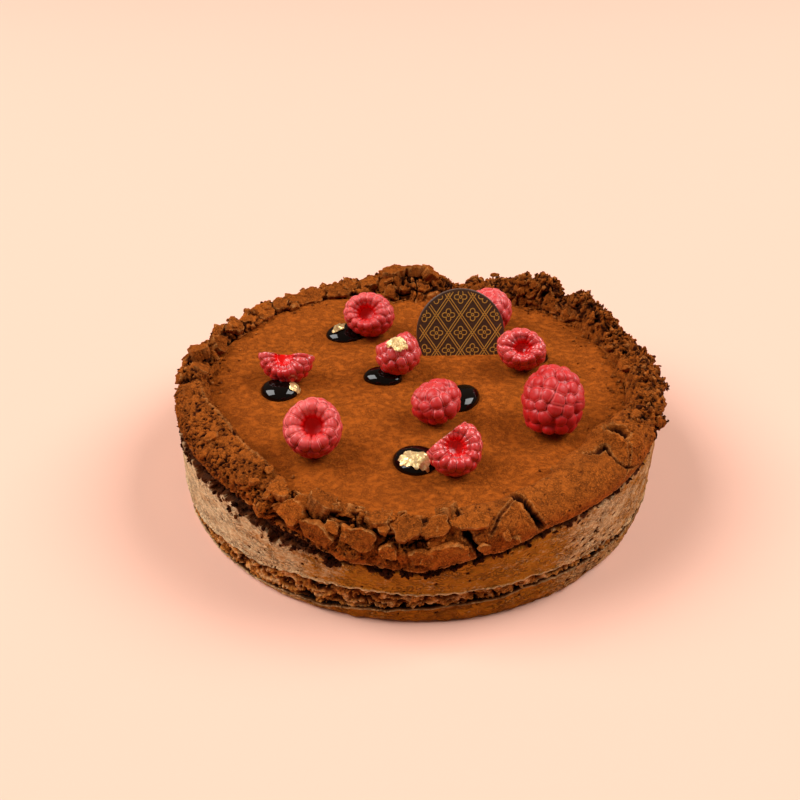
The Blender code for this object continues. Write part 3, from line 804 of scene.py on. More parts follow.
@dataclass(frozen=True)
class Crack:
    """A crack in the smooth plate: a line of (angle, share across the rim), its width and its depth in mm."""

    line: tuple[tuple[float, float], ...]
    width: float
    depth: float

    def reach(self, along: Array, across: Array) -> Array:
        """How far each point lies from the line, where the rim is unrolled to mm.

        Args:
            along: The points' places round the rim, in mm.
            across: Their places across it, in mm.

        Returns:
            The distances.
        """
        points = [(math.radians(angle) * RIM_MIDDLE, share * RIM_UNROLLED) for angle, share in self.line]
        nearest = np.full(along.shape, FAR)
        for (x, y), (x_next, y_next) in zip(points, points[1:]):
            way = np.array([x_next - x, y_next - y])
            share = np.clip(((along - x) * way[0] + (across - y) * way[1]) / (way @ way), 0, 1)
            nearest = np.minimum(nearest, np.hypot(along - x - share * way[0], across - y - share * way[1]))
        return nearest


CRACKS = (
    Crack(((-71.0, -0.05), (-69.3, 0.18), (-68.8, 0.32), (-67.6, 0.46), (-66.8, 0.62), (-65.7, 0.84)), 1.3, 3.4),
    Crack(((-83.0, 0.20), (-82.2, 0.44), (-80.9, 0.58), (-79.0, 0.80), (-78.2, 1.0)), 1.0, 3.4),
    Crack(((-76.4, 0.62), (-74.0, 0.46), (-70.5, 0.36), (-69.2, 0.34)), 0.25, 0.7),
    Crack(((-60.5, 0.02), (-59.2, 0.14), (-58.6, 0.24)), 0.3, 0.8),
    Crack(((-36.0, 0.42), (-40.0, 0.62), (-44.0, 0.78)), 0.2, 0.5),
    Crack(((-45.4, 0.30), (-43.6, 0.36), (-42.2, 0.35), (-40.6, 0.37)), 0.5, 1.5),
    Crack(((-40.6, 0.37), (-41.9, 0.44), (-42.4, 0.52), (-41.6, 0.62), (-39.0, 0.76), (-36.5, 0.84)), 0.35, 1.2),
)
# A round hole in the plate: its angle, its share across the rim, its radius and its depth in mm.
CRATER = (-35.6, 0.36, 1.9, 4.6)


@dataclass(frozen=True)
class Slab:
    """A broken plate of crust that lies on the rim.

    angle and across say where, lift how far it stands off, then its size along the rim, across it and through,
    how far it is spun about its face and tipped up or sideways in degrees, and how many corners it has.
    """

    angle: float
    across: float
    lift: float
    wide: float
    tall: float
    thick: float
    spin: float = 0.0
    tip: float = 0.0
    yaw: float = 0.0
    corners: int = 6

    def shape(self, place: Array, along: Array, up: Array, out: Array,
              draw: np.random.Generator, rings: int, columns: int) -> Shape:
        """Makes the plate: rings from the middle of one face to the middle of the other.

        A ring's radius is its share of the outline, and the outline is the nearest of a few straight sides.

        Args:
            place: The point of the rim under its middle.
            along: The way round the rim there.
            up: The way up the rim's surface.
            out: The way off it.
            draw: The source of random numbers.
            rings: How many rings each face has.
            columns: How many points each ring has.

        Returns:
            The shape, with its values.
        """
        turn = 2 * np.pi * np.arange(columns) / columns
        sides = (np.arange(self.corners) + draw.uniform(-0.28, 0.28, self.corners)) * 2 * np.pi / self.corners
        reach = draw.uniform(0.78, 1.0, self.corners)
        cosine = np.cos(turn[:, None] - sides)
        outline = np.minimum(np.where(cosine > 0.2, reach / np.maximum(cosine, 0.2), FAR).min(1), 1.2)
        for waves, size in ((3, 0.06), (5, 0.05), (9, 0.03), (17, 0.022)):
            outline = outline + size * np.sin(waves * turn + draw.uniform(0, 6.3))
        soft = min(0.28, 0.3 * self.thick)
        face = np.linspace(0.12, 1, rings)
        bevel = np.radians(np.linspace(0, 90, 4))[1:]
        share = np.concatenate([face, np.full(3, 1.0)])
        inward = np.concatenate([np.full(rings, soft), soft * (1 - np.sin(bevel))])
        level = np.concatenate([np.full(rings, self.thick / 2), self.thick / 2 - soft * (1 - np.cos(bevel))])
        share, inward = np.concatenate([share, share[::-1]]), np.concatenate([inward, inward[::-1]])
        level = np.concatenate([level, -level[::-1]])
        radius = share[:, None] * outline
        x = radius * np.cos(turn) * (self.wide / 2 - inward[:, None])
        y = radius * np.sin(turn) * (self.tall / 2 - inward[:, None])
        flat = np.stack([x, y, np.broadcast_to(level[:, None], x.shape)], -1)
        seed = draw.uniform(0, 200, 3)
        flat[..., 2] *= 1 + draw.uniform(-0.5, 0.5) * x / self.wide + draw.uniform(-0.5, 0.5) * y / self.tall
        rough = 0.42 * GRAIN.waves(flat + seed, 4.5) + 0.32 * GRAIN.waves(flat + seed, 1.9, 2)
        flat = flat + np.stack([0.7 * rough, 0.7 * np.roll(rough, 7, 1), rough * np.sign(level)[:, None]], -1)
        spin = Matrix.Rotation(math.radians(self.spin), 3, "Z")
        tip = Matrix.Rotation(math.radians(self.tip), 3, "X") @ Matrix.Rotation(math.radians(self.yaw), 3, "Y")
        flat = flat @ np.array(tip @ spin).T
        middle = place + out * self.lift
        points = middle + flat[..., :1] * along + flat[..., 1:2] * up + flat[..., 2:] * out
        # A painted highlight round the edge of each face.
        edge = np.clip(1 - np.abs(np.arange(2 * rings + 6) - rings - 1.0) / 2.2, 0, 1)[:, None] * np.ones(columns)
        edge = edge * (0.30 + 0.8 * GRAIN.waves(points, 1.8)).clip(0, 0.8)
        ends = points[0].mean(0), points[-1].mean(0)
        full = np.ones(x.shape)
        return Shape.grid(points, start=ends[0], end=ends[1], depth=0.85 * full, tone=draw.uniform(-0.8, 0.9) * full,
                          edge=edge)


# The plates: angle, across, lift, wide, tall, thick, spin, tip, yaw and corners.
SLABS = tuple(Slab(*row) for row in (
    (-93.0, 0.46, 0.1, 9.0, 10.0, 2.2, 12, -10, 0, 6), (-110.6, 0.66, -0.1, 11.5, 6.8, 2.7, -12, 12, 0, 5),
    (-111.6, 0.34, 0.1, 10.5, 9.0, 4.5, 30, -8, 14, 8), (-105.8, 0.26, -0.4, 8.5, 7.0, 3.6, 10, -20, 0, 7),
    (-96.4, 0.68, 0.0, 6.0, 4.8, 2.0, 20, 0, 0, 7), (-90.2, 0.72, 0.0, 8.0, 5.0, 2.2, -8, 0, 0, 7),
    (-85.4, 0.74, -0.1, 15.5, 7.6, 2.3, 4, -4, 0, 5), (-84.4, 0.26, 0.0, 7.6, 6.4, 4.7, 0, 0, 0, 9),
    (-79.8, 0.46, -0.1, 11.5, 6.4, 1.8, -14, -12, 0, 5), (-87.4, 0.46, -0.1, 10.0, 6.8, 2.2, 25, 6, 0, 6),
    (-102.4, 0.60, -0.2, 13.0, 7.4, 2.2, -6, 4, 0, 6), (-99.0, 0.36, -0.1, 8.5, 7.0, 2.2, 40, -12, 0, 6),
    (-117.0, 0.56, -0.2, 10.0, 7.5, 2.7, 15, 8, 0, 6), (-122.0, 0.42, -0.3, 8.0, 7.0, 2.7, -20, -10, 0, 7),
    (143.5, 0.26, -0.4, 18.0, 9.0, 2.2, 6, -6, 0, 5), (126.0, 0.22, -0.3, 19.0, 7.6, 2.2, -3, -4, 0, 4),
    (135.0, 0.28, -0.4, 9.0, 6.6, 2.2, 30, 0, 0, 6), (115.0, 0.24, -0.3, 14.0, 7.0, 2.2, 6, -6, 0, 5),
    (153.0, 0.30, -0.4, 10.0, 7.0, 2.6, 40, -6, 0, 6), (164.4, 0.20, 0.2, 9.0, 7.0, 3.0, 20, -10, 0, 6),
    (172.0, 0.40, 0.2, 12.0, 9.0, 4.0, 35, 6, 0, 7), (-178.0, 0.28, 0.2, 9.0, 7.0, 3.5, -25, -8, 0, 7),
    (97.0, 0.34, -0.2, 12.0, 8.0, 4.0, 10, 0, 0, 7), (90.0, 0.38, -0.2, 11.0, 8.0, 4.2, -20, 10, 0, 7),
    (84.6, 0.34, -0.2, 8.5, 7.5, 4.0, 35, 0, 0, 7), (104.5, 0.30, -0.3, 10.0, 7.0, 3.0, -10, -8, 0, 6),
))


@dataclass
class CrustRim:
    """The baked rim that broke into crags, in two halves that meet in a crack and behind the back shards."""

    halves: tuple[tuple[str, float, float], ...] = (("crust_rim_left", 104.0, 290.4), ("crust_rim_right", -69.6, 104.0))
    cell: float = 0.36
    crumbs: int = 5200
    chips: int = 90

    def section(self, angles: Array) -> Array:
        """The rim's cross-section, from its foot over the crest and the lip and back below.

        Args:
            angles: The angles to cut it at, in degrees.

        Returns:
            For each angle, (radius, height) stations round a closed loop.
        """
        lip, crest, foot = by_angle(RIM_SHAPE, angles)
        crest_out, lip_in = by_angle(RIM_FORM, angles)
        out = CAKE_RADIUS - foot
        under = np.minimum(lip + 1.0, 32.0)
        rows = [(foot - 3, np.full_like(foot, 32.2))]
        rows += [(foot + share * out * crest_out / 0.5, FOOT_HEIGHT + (crest - FOOT_HEIGHT) * up)
                 for share, up in RIM_INSIDE]
        for share, up in RIM_OUTSIDE:
            spread = crest_out + (share - 0.5) / 0.5 * (1 - crest_out)
            rows.append((foot + spread * out - lip_in * smoothly((spread - 0.5) / 0.5), lip + (crest - lip) * up))
        rows += [(CAKE_RADIUS - 0.2 - lip_in, lip), (88.2 - lip_in, lip + 0.4), (85.5 - lip_in, under),
                 (np.full_like(foot, 80.5), np.minimum(under, 31.0)), (foot - 1.5, np.full_like(foot, 30.5))]
        return np.stack([np.stack(pair, -1) for pair in rows], -2)

    def steps(self) -> Array:
        """Where the rows lie on the loop: evenly along what shows, and sparse where it is buried.

        Returns:
            The places, counted in stations.
        """
        fine = np.linspace(0.3, LAST_SHOWN, 400)
        path = spline(self.section(np.array([-100.0, -150.0])), fine, True).mean(0)
        along = lengths_along(path)
        shown = np.interp(np.arange(0, along[-1], self.cell), along, fine)
        return np.concatenate([shown, np.linspace(11.8, 15.0, 6)])

    def relief(self, points: Array, angles: Array, across: Array) -> tuple[Array, ...]:
        """Height of the broken surface over the plain one, mixed by angle, its painted edge highlight and its painted
        shade.

        Coral is one less the size of a wave, at two scales, with deep holes. Pores are small steep pits among
        low curls. Rocks are cells of a cellular noise, each raised and tilted on its own, with grooves where
        two meet. The cracks and the crater are cut last. The darkness is painted shade in the holes, pores,
        grooves, cracks, crater and low parts, and the edge is a painted highlight on the rocks' edges, the
        cracks' lips and the crater's rim.

        Args:
            points: The plain surface, in rows across the rim and columns round it.
            angles: The angle of each point, from -180 to 180.
            across: The place of each row across the rim, from 0 to 1.

        Returns:
            The height in mm, the share of a painted edge highlight and the painted shade of each point.
        """
        coral, porous, rocks, _, _ = by_angle(RIM_BREAK, angles)
        across = np.broadcast_to(across[:, None], angles.shape)
        outer = smoothly((across - 0.15) / 0.5)
        rocks = rocks * (1 - 0.85 * window(angles, -121, -84, 6) * smoothly((across - 0.60) / 0.08))
        coral = coral * np.maximum(smoothly((across - 0.10) / 0.18), 1 - window(angles, -24, 106, 8))
        bend = GRAIN.bend(points, 4.0, (0.0, 31.7, 77.1))
        bent = points + 1.3 * bend
        fine = 0.30 * GRAIN.waves(points, 1.5) + 0.24 * GRAIN.waves(points, 0.8)
        ridges = GRAIN.ridges(bent, 4.4, 2.2) + 0.6 * GRAIN.ridges(bent, 2.0, 2.2)
        holes = GRAIN.holes(bent, 2.8, (0.22, 0.26), 0.14, 0, 0.3)
        relief = coral * (1.3 * (ridges - 0.5) - 2.6 * holes + 1.3 * fine)
        # dark is painted shade, here in the coral's holes and low parts.
        dark = coral * (1.0 * holes + 0.85 * smoothly((0.75 - ridges) / 1.0))
        pores = GRAIN.holes(points + 0.5 * bend, 1.6, (0.14, 0.34), 0.10, 1, 0.62 - 0.5 * outer)
        worm = peak(GRAIN.waves(bent + 7, 2.4), 0, 0.10) * smoothly(3 * GRAIN.waves(points + 3, 6.0) + 0.5)
        curls = GRAIN.ridges(bent + 7, 1.5, 3.0)
        relief += porous * (0.42 * curls - 1.0 * pores - 0.8 * worm * outer + 0.4 * GRAIN.waves(points, 5.0, 2))
        # Painted shade in the pores, the worm channels and between the curls.
        dark += porous * (1.1 * pores + 0.8 * worm * outer + 0.45 * smoothly(-1.2 * curls))
        first, second, number, offset = GRAIN.cells(points + 1.1 * bend, 8.6)
        slope = (GRAIN.slopes[number] * offset).sum(-1)
        between = second - first
        lifted = 1.8 * (GRAIN.places[number, 1] - 0.5) + 2.4 * slope - 1.8 * (1 - smoothly(between / 0.10))
        # edge paints a highlight where two rocks meet, and dark paints shade in the grooves between them.
        edge = 0.5 * rocks * peak(between, 0.12, 0.05) * (GRAIN.waves(points, 2.0) > -0.1)
        dark += rocks * 0.6 * (1 - smoothly(between / 0.08))
        small, next_small, number, offset = GRAIN.cells(points + 0.7 * bend + 50, 3.4)
        part = 0.25 + 0.75 * smoothly(GRAIN.waves(points, 8.0) * 2.4 + 0.5)
        groove = 1 - smoothly((next_small - small) / 0.16)
        lifted += part * (0.8 * (GRAIN.places[number, 1] - 0.5) + 1.3 * (GRAIN.slopes[number] * offset).sum(-1)
                          - 0.9 * groove)
        dark += rocks * part * 0.5 * groove
        relief += rocks * (lifted + 0.9 * fine) + 0.12 * fine
        along, over = np.radians(angles) * RIM_MIDDLE, across * RIM_UNROLLED
        jag = 0.5 * GRAIN.waves(points, 2.4, 2)
        for crack in CRACKS:
            near = crack.reach(along, over) + jag * min(1.0, crack.width)
            gap = smoothly(1 - (near - 0.5 * crack.width) / 0.5)
            relief -= crack.depth * gap
            # Painted shade in each crack, and a painted highlight on its lips.
            dark += min(1.0, crack.width) * 0.8 * gap
            edge = np.maximum(edge, 0.35 * peak(near - crack.width, 0.30, 0.25))
        angle, share, size, depth = CRATER
        near = np.hypot(along - math.radians(angle) * RIM_MIDDLE, over - share * RIM_UNROLLED) + 0.7 * jag
        hole = smoothly((size + 0.3 - near) / 0.8)
        around = peak(near - size, 0.8, 6.0)
        relief += around * (2.3 + 1.0 * (ridges - 0.6) + 0.8 * fine) - depth * hole
        # Painted shade in the crater and in the low crumb round it, and a painted highlight on its rim.
        dark += 0.35 * around * smoothly((0.4 - ridges) / 0.6)
        dark += hole
        edge = np.maximum(edge, 0.4 * peak(near - size, 0.6, 0.4))
        # The lower parts get more painted shade.
        return relief, np.clip(edge, 0, 1), dark - 0.12 * relief

    def half(self, start: float, end: float) -> tuple[Array, dict[str, Array], Array]:
        """The surface of one half.

        Args:
            start: The angle where it starts.
            end: The angle where it ends.

        Returns:
            Its points as a grid, the values kept at them, and the angles of its columns.
        """
        columns = round((end - start) * math.pi / 180 * RIM_MIDDLE / self.cell)
        angles = np.linspace(start, end, columns)
        steps = self.steps()
        stations = spline(self.section(angles), steps, True)
        radius, height = stations[..., 0].T, stations[..., 1].T
        across = np.clip((steps - 1) / 9, 0, 1)
        plate = window(angles, PLATE_START - 14, PLATE_END, PLATE_EASE)
        crags = Crag()
        smooth = 1 - 0.9 * window(angles, -172, -126, 8) - 0.45 * window(angles, 106, 165, 8)
        relief = (crags.relief(angles, across) - crags.mean * (1 - plate)) * (1 - 0.85 * plate) * smooth
        shown = (smoothly(steps / 1.2) * (1 - 0.75 * smoothly((steps - 8.5) / 2.0)) * (steps < 11.3))[:, None]
        push = relief * shown
        outward = smoothly((across - 0.35) / 0.4)[:, None]
        inward = 0.4 * (1 - smoothly(across / 0.3))[:, None]
        radius = radius + 0.7 * push * (outward - inward)
        height = height + push * (1 - 0.75 * outward)
        points = turned(radius, angles, height)
        normals = -grid_normals(points, True, False)
        turns = (np.broadcast_to(angles, radius.shape) + 180) % 360 - 180
        rough, edge, dark = self.relief(points, turns, across)
        rough = rough * (smoothly(steps / 1.0) * (1 - 0.5 * smoothly((steps - 9.3) / 1.2)))[:, None]
        rough[steps > 11.6] *= 0.2
        # lip and crest are pale lines of painted highlight along the lip and the crest.
        lip = peak(steps, LIP_STEP, 0.45)[:, None] * (0.5 + 0.5 * GRAIN.waves(points, 4.0, 2)).clip(0, 1)
        crest = peak(steps, CREST_STEP, 0.28)[:, None] * window(angles, -170, -124, 8)
        lip = np.maximum(lip, 0.4 * crest)
        points = points + normals * (rough + 0.35 * lip)[..., None]
        # depth is one less the painted shade, and drops under the lip as painted shade there.
        proud = np.clip(0.85 - dark, 0, 1)
        proud *= (1 - 0.9 * smoothly((steps - 10.1) / 0.6))[:, None]
        values = {"depth": proud, "tone": GRAIN.waves(points, 14.0, 2), "edge": np.maximum(edge, 0.8 * lip)}
        return points, values, angles

    def build(self, finish: Material) -> None:
        """Makes both halves, the crumbs that cling to them and the broken plates that lie on them."""
        maker = CrumbMaker(21)
        for name, start, end in self.halves:
            points, values, angles = self.half(start, end)
            shape = Shape.grid(points, wrap_rows=True, wrap_columns=False, **values)
            rows, columns = points.shape[:2]
            first = (np.arange(rows) * columns)[None, :]
            shape.faces.append(first)
            shape.faces.append((first + columns - 1)[:, ::-1])
            add_piece(shape.mesh(name, finish), "crust", "baked_crust")
            self.cling(maker, name, points, angles, finish)
        self.plates(finish)

    def cling(self, maker: CrumbMaker, name: str, points: Array, angles: Array,
              finish: Material) -> None:
        """Scatters crumbs over the shown part of a half, half sunk in its surface.

        Args:
            maker: What makes the crumbs.
            name: The half's name.
            points: The half's points, as a grid.
            angles: The angles of its columns.
            finish: The crumbs' material.
        """
        steps = self.steps()
        normals = -grid_normals(points, True, False)
        *_, crumbs, width = by_angle(RIM_BREAK, angles)
        weight = np.outer((steps > 1.1) & (steps < 10.2), crumbs)
        bare = window(angles, -24, 106, 8)
        weight = (weight * (1 - bare * (steps < 3.2)[:, None])).ravel()
        draw = maker.draw
        count = int(self.crumbs * crumbs.mean() / 1.2)
        chosen = draw.choice(weight.size, count, p=weight / weight.sum())
        column = chosen % len(angles)
        sizes = width[column] * spread_sizes(draw, 0.6, 2.6, count)
        off = (draw.uniform(-0.15, 0.25, count) * sizes)[:, None]
        places = points.reshape(-1, 3)[chosen] + normals.reshape(-1, 3)[chosen] * off
        shape = maker.scatter(places, sizes, thin=(0.25, 0.9), depth=(0.30, 1.0))
        add_piece(shape.mesh(name.replace("rim", "crumbs"), finish), "crust", "baked_crust")

    def plates(self, finish: Material) -> None:
        """Lays the named plates on the rim, and many small chips between them."""
        draw = np.random.default_rng(12)
        chips = []
        while len(chips) < self.chips:
            angle = draw.uniform(-180, 180)
            rocks = by_angle(RIM_BREAK, np.array([angle]))[2, 0]
            across = draw.uniform(0.08, 0.9)
            if draw.random() > rocks or (-124 < angle < -82 and across > 0.62):
                continue
            wide, tall = draw.uniform(2.2, 6.0), draw.uniform(2.0, 4.6)
            chips.append(Slab(angle, across, draw.uniform(-0.2, 0.4), wide, tall,
                              draw.uniform(1.0, 2.4), draw.uniform(0, 180), draw.normal(0, 16), draw.normal(0, 16),
                              int(draw.integers(4, 7))))
        for name, slabs, rings, columns in (("crust_plates", SLABS, 12, 72), ("crust_chips", chips, 4, 24)):
            made = []
            for slab in slabs:
                angles = slab.angle + np.array([-0.5, 0.0, 0.5])
                steps = 1 + 9 * slab.across + np.array([-0.3, 0.0, 0.3])
                near = spline(self.section(angles), steps, True)
                near = turned(near[..., 0], angles[:, None], near[..., 1])
                along, up = near[2, 1] - near[0, 1], near[1, 0] - near[1, 2]
                along, up = along / np.linalg.norm(along), up / np.linalg.norm(up)
                out = np.cross(along, up)
                if slab.across < 0.2:
                    out = out / np.linalg.norm(out)
                made.append(slab.shape(near[1, 1], along, up, out, draw, rings, columns))
            add_piece(Shape.joined(made).mesh(name, finish), "crust", "baked_crust")


@dataclass
class SideLayers:
    """The three layers that show at the cake's side: pressed base, sponge and moulded mousse."""

    cell: float = 0.5
    sponge_cell: float = 0.42
    underside_crumbs: int = 3000
    sponge_crumbs: int = 1500

    def columns(self, cell: float) -> Array:
        """The angles of the columns round the side."""
        count = round(2 * math.pi * CAKE_RADIUS / cell)
        return np.arange(count) * 360 / count

    def side(self, low: Array, high: Array, cell: float) -> tuple[Array, Array]:
        """Shares from 1 at the top to 0 at the bottom, and their heights, for rows a cell apart."""
        rows = max(4, round(float((high - low).max()) / cell))
        share = np.linspace(1, 0, rows)[:, None]
        return share, low + share * (high - low)

    def closed(self, points: Array, proud: Array, edge: Array, middle: tuple[float, float]) -> Shape:
        """Closes a side with two buried rings above and below, and a point on the axis at each end.

        Args:
            points: The side's points, from its top row to its bottom row.
            proud: How proud each point is; the less proud, the more painted shade.
            edge: How much of a painted edge highlight each has.
            middle: The heights of the body's top and bottom away from the side.

        Returns:
            The closed shape.
        """
        inner, deep = np.array([0.985, 0.985, 1.0]), np.array([0.75, 0.75, 0.0])
        top, bottom = points[:1], points[-1:]
        rows = [top * deep + (0, 0, middle[0]), top * inner, points, bottom * inner, bottom * deep + (0, 0, middle[1])]
        points = np.concatenate(rows)
        proud = np.pad(proud, ((2, 2), (0, 0)))
        edge = np.pad(edge, ((2, 2), (0, 0)))
        return Shape.grid(points, start=(0, 0, middle[0]), end=(0, 0, middle[1]), depth=proud,
                          tone=self.side_tone_and_painted_light(points), edge=edge)

    def side_tone_and_painted_light(self, points: Array) -> Array:
        """The tone of mousse and base: soft blotches, and painted light and shade by angle: paler on the left, darker
        at the right and back, and darkest in front.
        """
        angles = np.degrees(np.arctan2(points[..., 1], points[..., 0]))
        return (0.9 * window(angles, 145, 245, 25) - 0.9 * window(angles, -52, 120, 20)
                - 2.3 * window(angles, -122, -48, 22) + 0.8 * GRAIN.waves(points, (9.0, 9.0, 4.0), 3))

    def dashes(self, points: Array, angles: Array, share: Array) -> Array:
        """Short level tears on the right of the side, where 1 is the deepest: long cells near their centres.

        Args:
            points: The side's points.
            angles: The angles of their columns.
            share: How much torn each row is, from 0 to 1.

        Returns:
            The tears' depths.
        """
        deep = GRAIN.holes(points * (0.55, 0.55, 1.0), 1.7, (0.20, 0.26), 0.14, 1, 0.3)
        return deep * share * window(angles, -64, 30, 16)

    def mousse(self, finish: Material, crumb: Material) -> None:
        """The mousse: faint swells, small pits, a ragged lower lip, and a torn hollow under the crust, with painted
        shade in the pits and the hollow and a painted highlight along the lower edge.

        Args:
            finish: The mousse's material.
            crumb: The material of the crumbs in the hollow.
        """
        angles = self.columns(self.cell)
        lip = by_angle(RIM_SHAPE, angles)[0]
        _, sponge_top, hollow = by_angle(SIDE_EDGES, angles)
        edge = turned(CAKE_RADIUS, angles, 0.0)
        scallop = 1.1 * np.abs(GRAIN.waves(edge, 6.5, 2)) + 0.35 * GRAIN.waves(edge + 9, 1.5)
        low, high = sponge_top - 0.9 + scallop, lip + 1.0
        share, height = self.side(low, high, 0.42)
        plain = turned(CAKE_RADIUS, angles, height)
        from_top, from_bottom = high - height, height - low
        swell = 0.30 * GRAIN.waves(plain, 16.0, 2) + 0.20 * GRAIN.waves(plain, (3.0, 3.0, 1.8), 2)
        pits = GRAIN.holes(plain, 3.2, (0.04, 0.17), 0.07, 0, 0.15)
        pits = np.maximum(pits, self.dashes(plain, angles, smoothly((0.72 - share) / 0.35)))
        torn = from_top - 1.0 - hollow * (0.75 + 0.9 * GRAIN.waves(plain, (5.0, 5.0, 4.0), 3))
        back = 1 - smoothly(torn / 0.9)
        first, second, _, _ = GRAIN.cells(plain, 2.2)
        clots = back * (0.9 * smoothly((second - first) / 0.4) + 0.5 * GRAIN.waves(plain, 1.2))
        roll = 0.5 * (1 - smoothly(from_bottom / 1.0)) * (0.7 + 0.8 * GRAIN.waves(edge, 3.0))
        radius = CAKE_RADIUS + swell - 0.7 * pits - (1.4 + 0.30 * hollow) * back + clots + roll
        # shade and back paint shade into the hollow under the crust, and the pits are darkened as painted shade.
        shade = 1 - smoothly((torn - 2.2 * GRAIN.waves(plain, 3.0, 2)) / (0.8 + 0.5 * hollow))
        proud = np.clip(0.85 - 1.2 * pits - 0.85 * np.maximum(back, 0.8 * shade) + 0.25 * clots, 0, 1)
        # A painted highlight along the lower edge.
        painted_edge_highlight = 1 - smoothly(from_bottom / 0.7)
        shape = self.closed(turned(radius, angles, height), proud, 0.7 * painted_edge_highlight, (20.0, 14.8))
        add_piece(shape.mesh("mousse_wall", finish), "mousse", "mousse_layer")
        maker = CrumbMaker(17)
        places = turned(radius, angles, height)[np.maximum(back, shade) > 0.45]
        places = places[maker.draw.choice(len(places), self.underside_crumbs)]
        sizes = spread_sizes(maker.draw, 0.7, 2.8, len(places))
        # Their low depth values paint shade on the crumbs in the hollow under the crust.
        crumbs = maker.scatter(places, sizes, thin=(0.2, 0.9), depth=(0.05, 0.45))
        add_piece(crumbs.mesh("crust_underside_crumbs", crumb), "crust", "baked_crust")

    def sponge(self, finish: Material) -> None:
        """The sponge: waves stretched along the side make ragged sheets, with deep holes between them."""
        angles = self.columns(self.sponge_cell)
        base_top, sponge_top, _ = by_angle(SIDE_EDGES, angles)
        low, high = base_top - 1.0, sponge_top + 1.4
        _, height = self.side(low, high, 0.36)
        plain = turned(CAKE_RADIUS, angles, height)
        bend = GRAIN.bend(plain, 5.0, (0.0, 13.0, 41.0))
        sheets = GRAIN.ridges(plain + 1.2 * bend, (8.0, 8.0, 2.6), 2.6)
        crumb = GRAIN.ridges(plain + 1.6 * bend, 2.4, 2.4)
        holes = GRAIN.holes(plain + 0.8 * bend, 2.6, (0.15, 0.35), 0.16, 1, 0.4)
        rough = 1.1 * (sheets - 0.4) + 0.8 * (crumb - 0.4) + 0.45 * GRAIN.waves(plain, 1.1) - 2.4 * holes
        radius = CAKE_RADIUS - 1.5 + 0.5 * window(angles, 195, 250, 15) + rough
        # depth falls in the holes and low parts as painted shade, and edge paints a highlight on the sheets' edges.
        proud = np.clip(0.58 + rough / 1.9, 0, 1)
        edge = 0.8 * smoothly((sheets - 0.55) / 0.4) * (GRAIN.waves(plain, 5.0) > -0.1)
        shape = self.closed(turned(radius, angles, height), proud, edge, (14.4, 6.9))
        shape.values["tone"] = 0.8 * GRAIN.waves(shape.points, 7.0, 2)
        add_piece(shape.mesh("sponge_side", finish), "sponge", "sponge_layer")
        draw = np.random.default_rng(8)
        places = turned(radius, angles, height)[3:-3].reshape(-1, 3)
        places = places[draw.choice(len(places), self.sponge_crumbs)]
        crumbs = CrumbMaker(9).scatter(places, spread_sizes(draw, 0.5, 1.9, len(places)), thin=(0.2, 0.8))
        add_piece(crumbs.mesh("sponge_crumbs", finish), "sponge", "sponge_layer")

    def base(self, finish: Material) -> None:
        """The base: pressed and nearly smooth, with a torn upper edge and its lower edge rounded under."""
        angles = self.columns(self.cell)
        edge = turned(CAKE_RADIUS, angles, 0.0)
        high = by_angle(SIDE_EDGES, angles)[0] + 0.7 * GRAIN.waves(edge, 6.0, 3)
        foot = 0.25 * np.maximum(0, GRAIN.waves(edge + 40, 7.0, 2))
        share, height = self.side(foot, high, self.cell)
        plain = turned(CAKE_RADIUS, angles, height)
        pits = GRAIN.holes(plain, 2.8, (0.05, 0.20), 0.08, 1, 0.3)
        pits = np.maximum(pits, self.dashes(plain, angles, smoothly(share / 0.4)))
        swell = 0.35 * GRAIN.waves(plain, 9.0, 2) + 0.34 * GRAIN.waves(plain, (3.0, 3.0, 1.8), 2)
        from_top = high - height
        roll = 0.5 * (1 - smoothly(from_top / 0.9))
        radius = CAKE_RADIUS - 0.4 + swell - 0.8 * pits + roll - 1.4 * (1 - share) ** 5
        # depth falls in the pits as painted shade, and a painted highlight runs along the top and bottom edges.
        proud = np.clip(0.8 - 1.1 * pits + 0.5 * swell, 0, 1)
        painted_edge_highlight = 0.35 * (1 - smoothly(from_top / 0.6)) + 0.15 * smoothly(1 - height / 0.9)
        shape = self.closed(turned(radius, angles, height), proud, painted_edge_highlight, (6.3, 0.0))
        add_piece(shape.mesh("base_side", finish), "base", "base_layer")


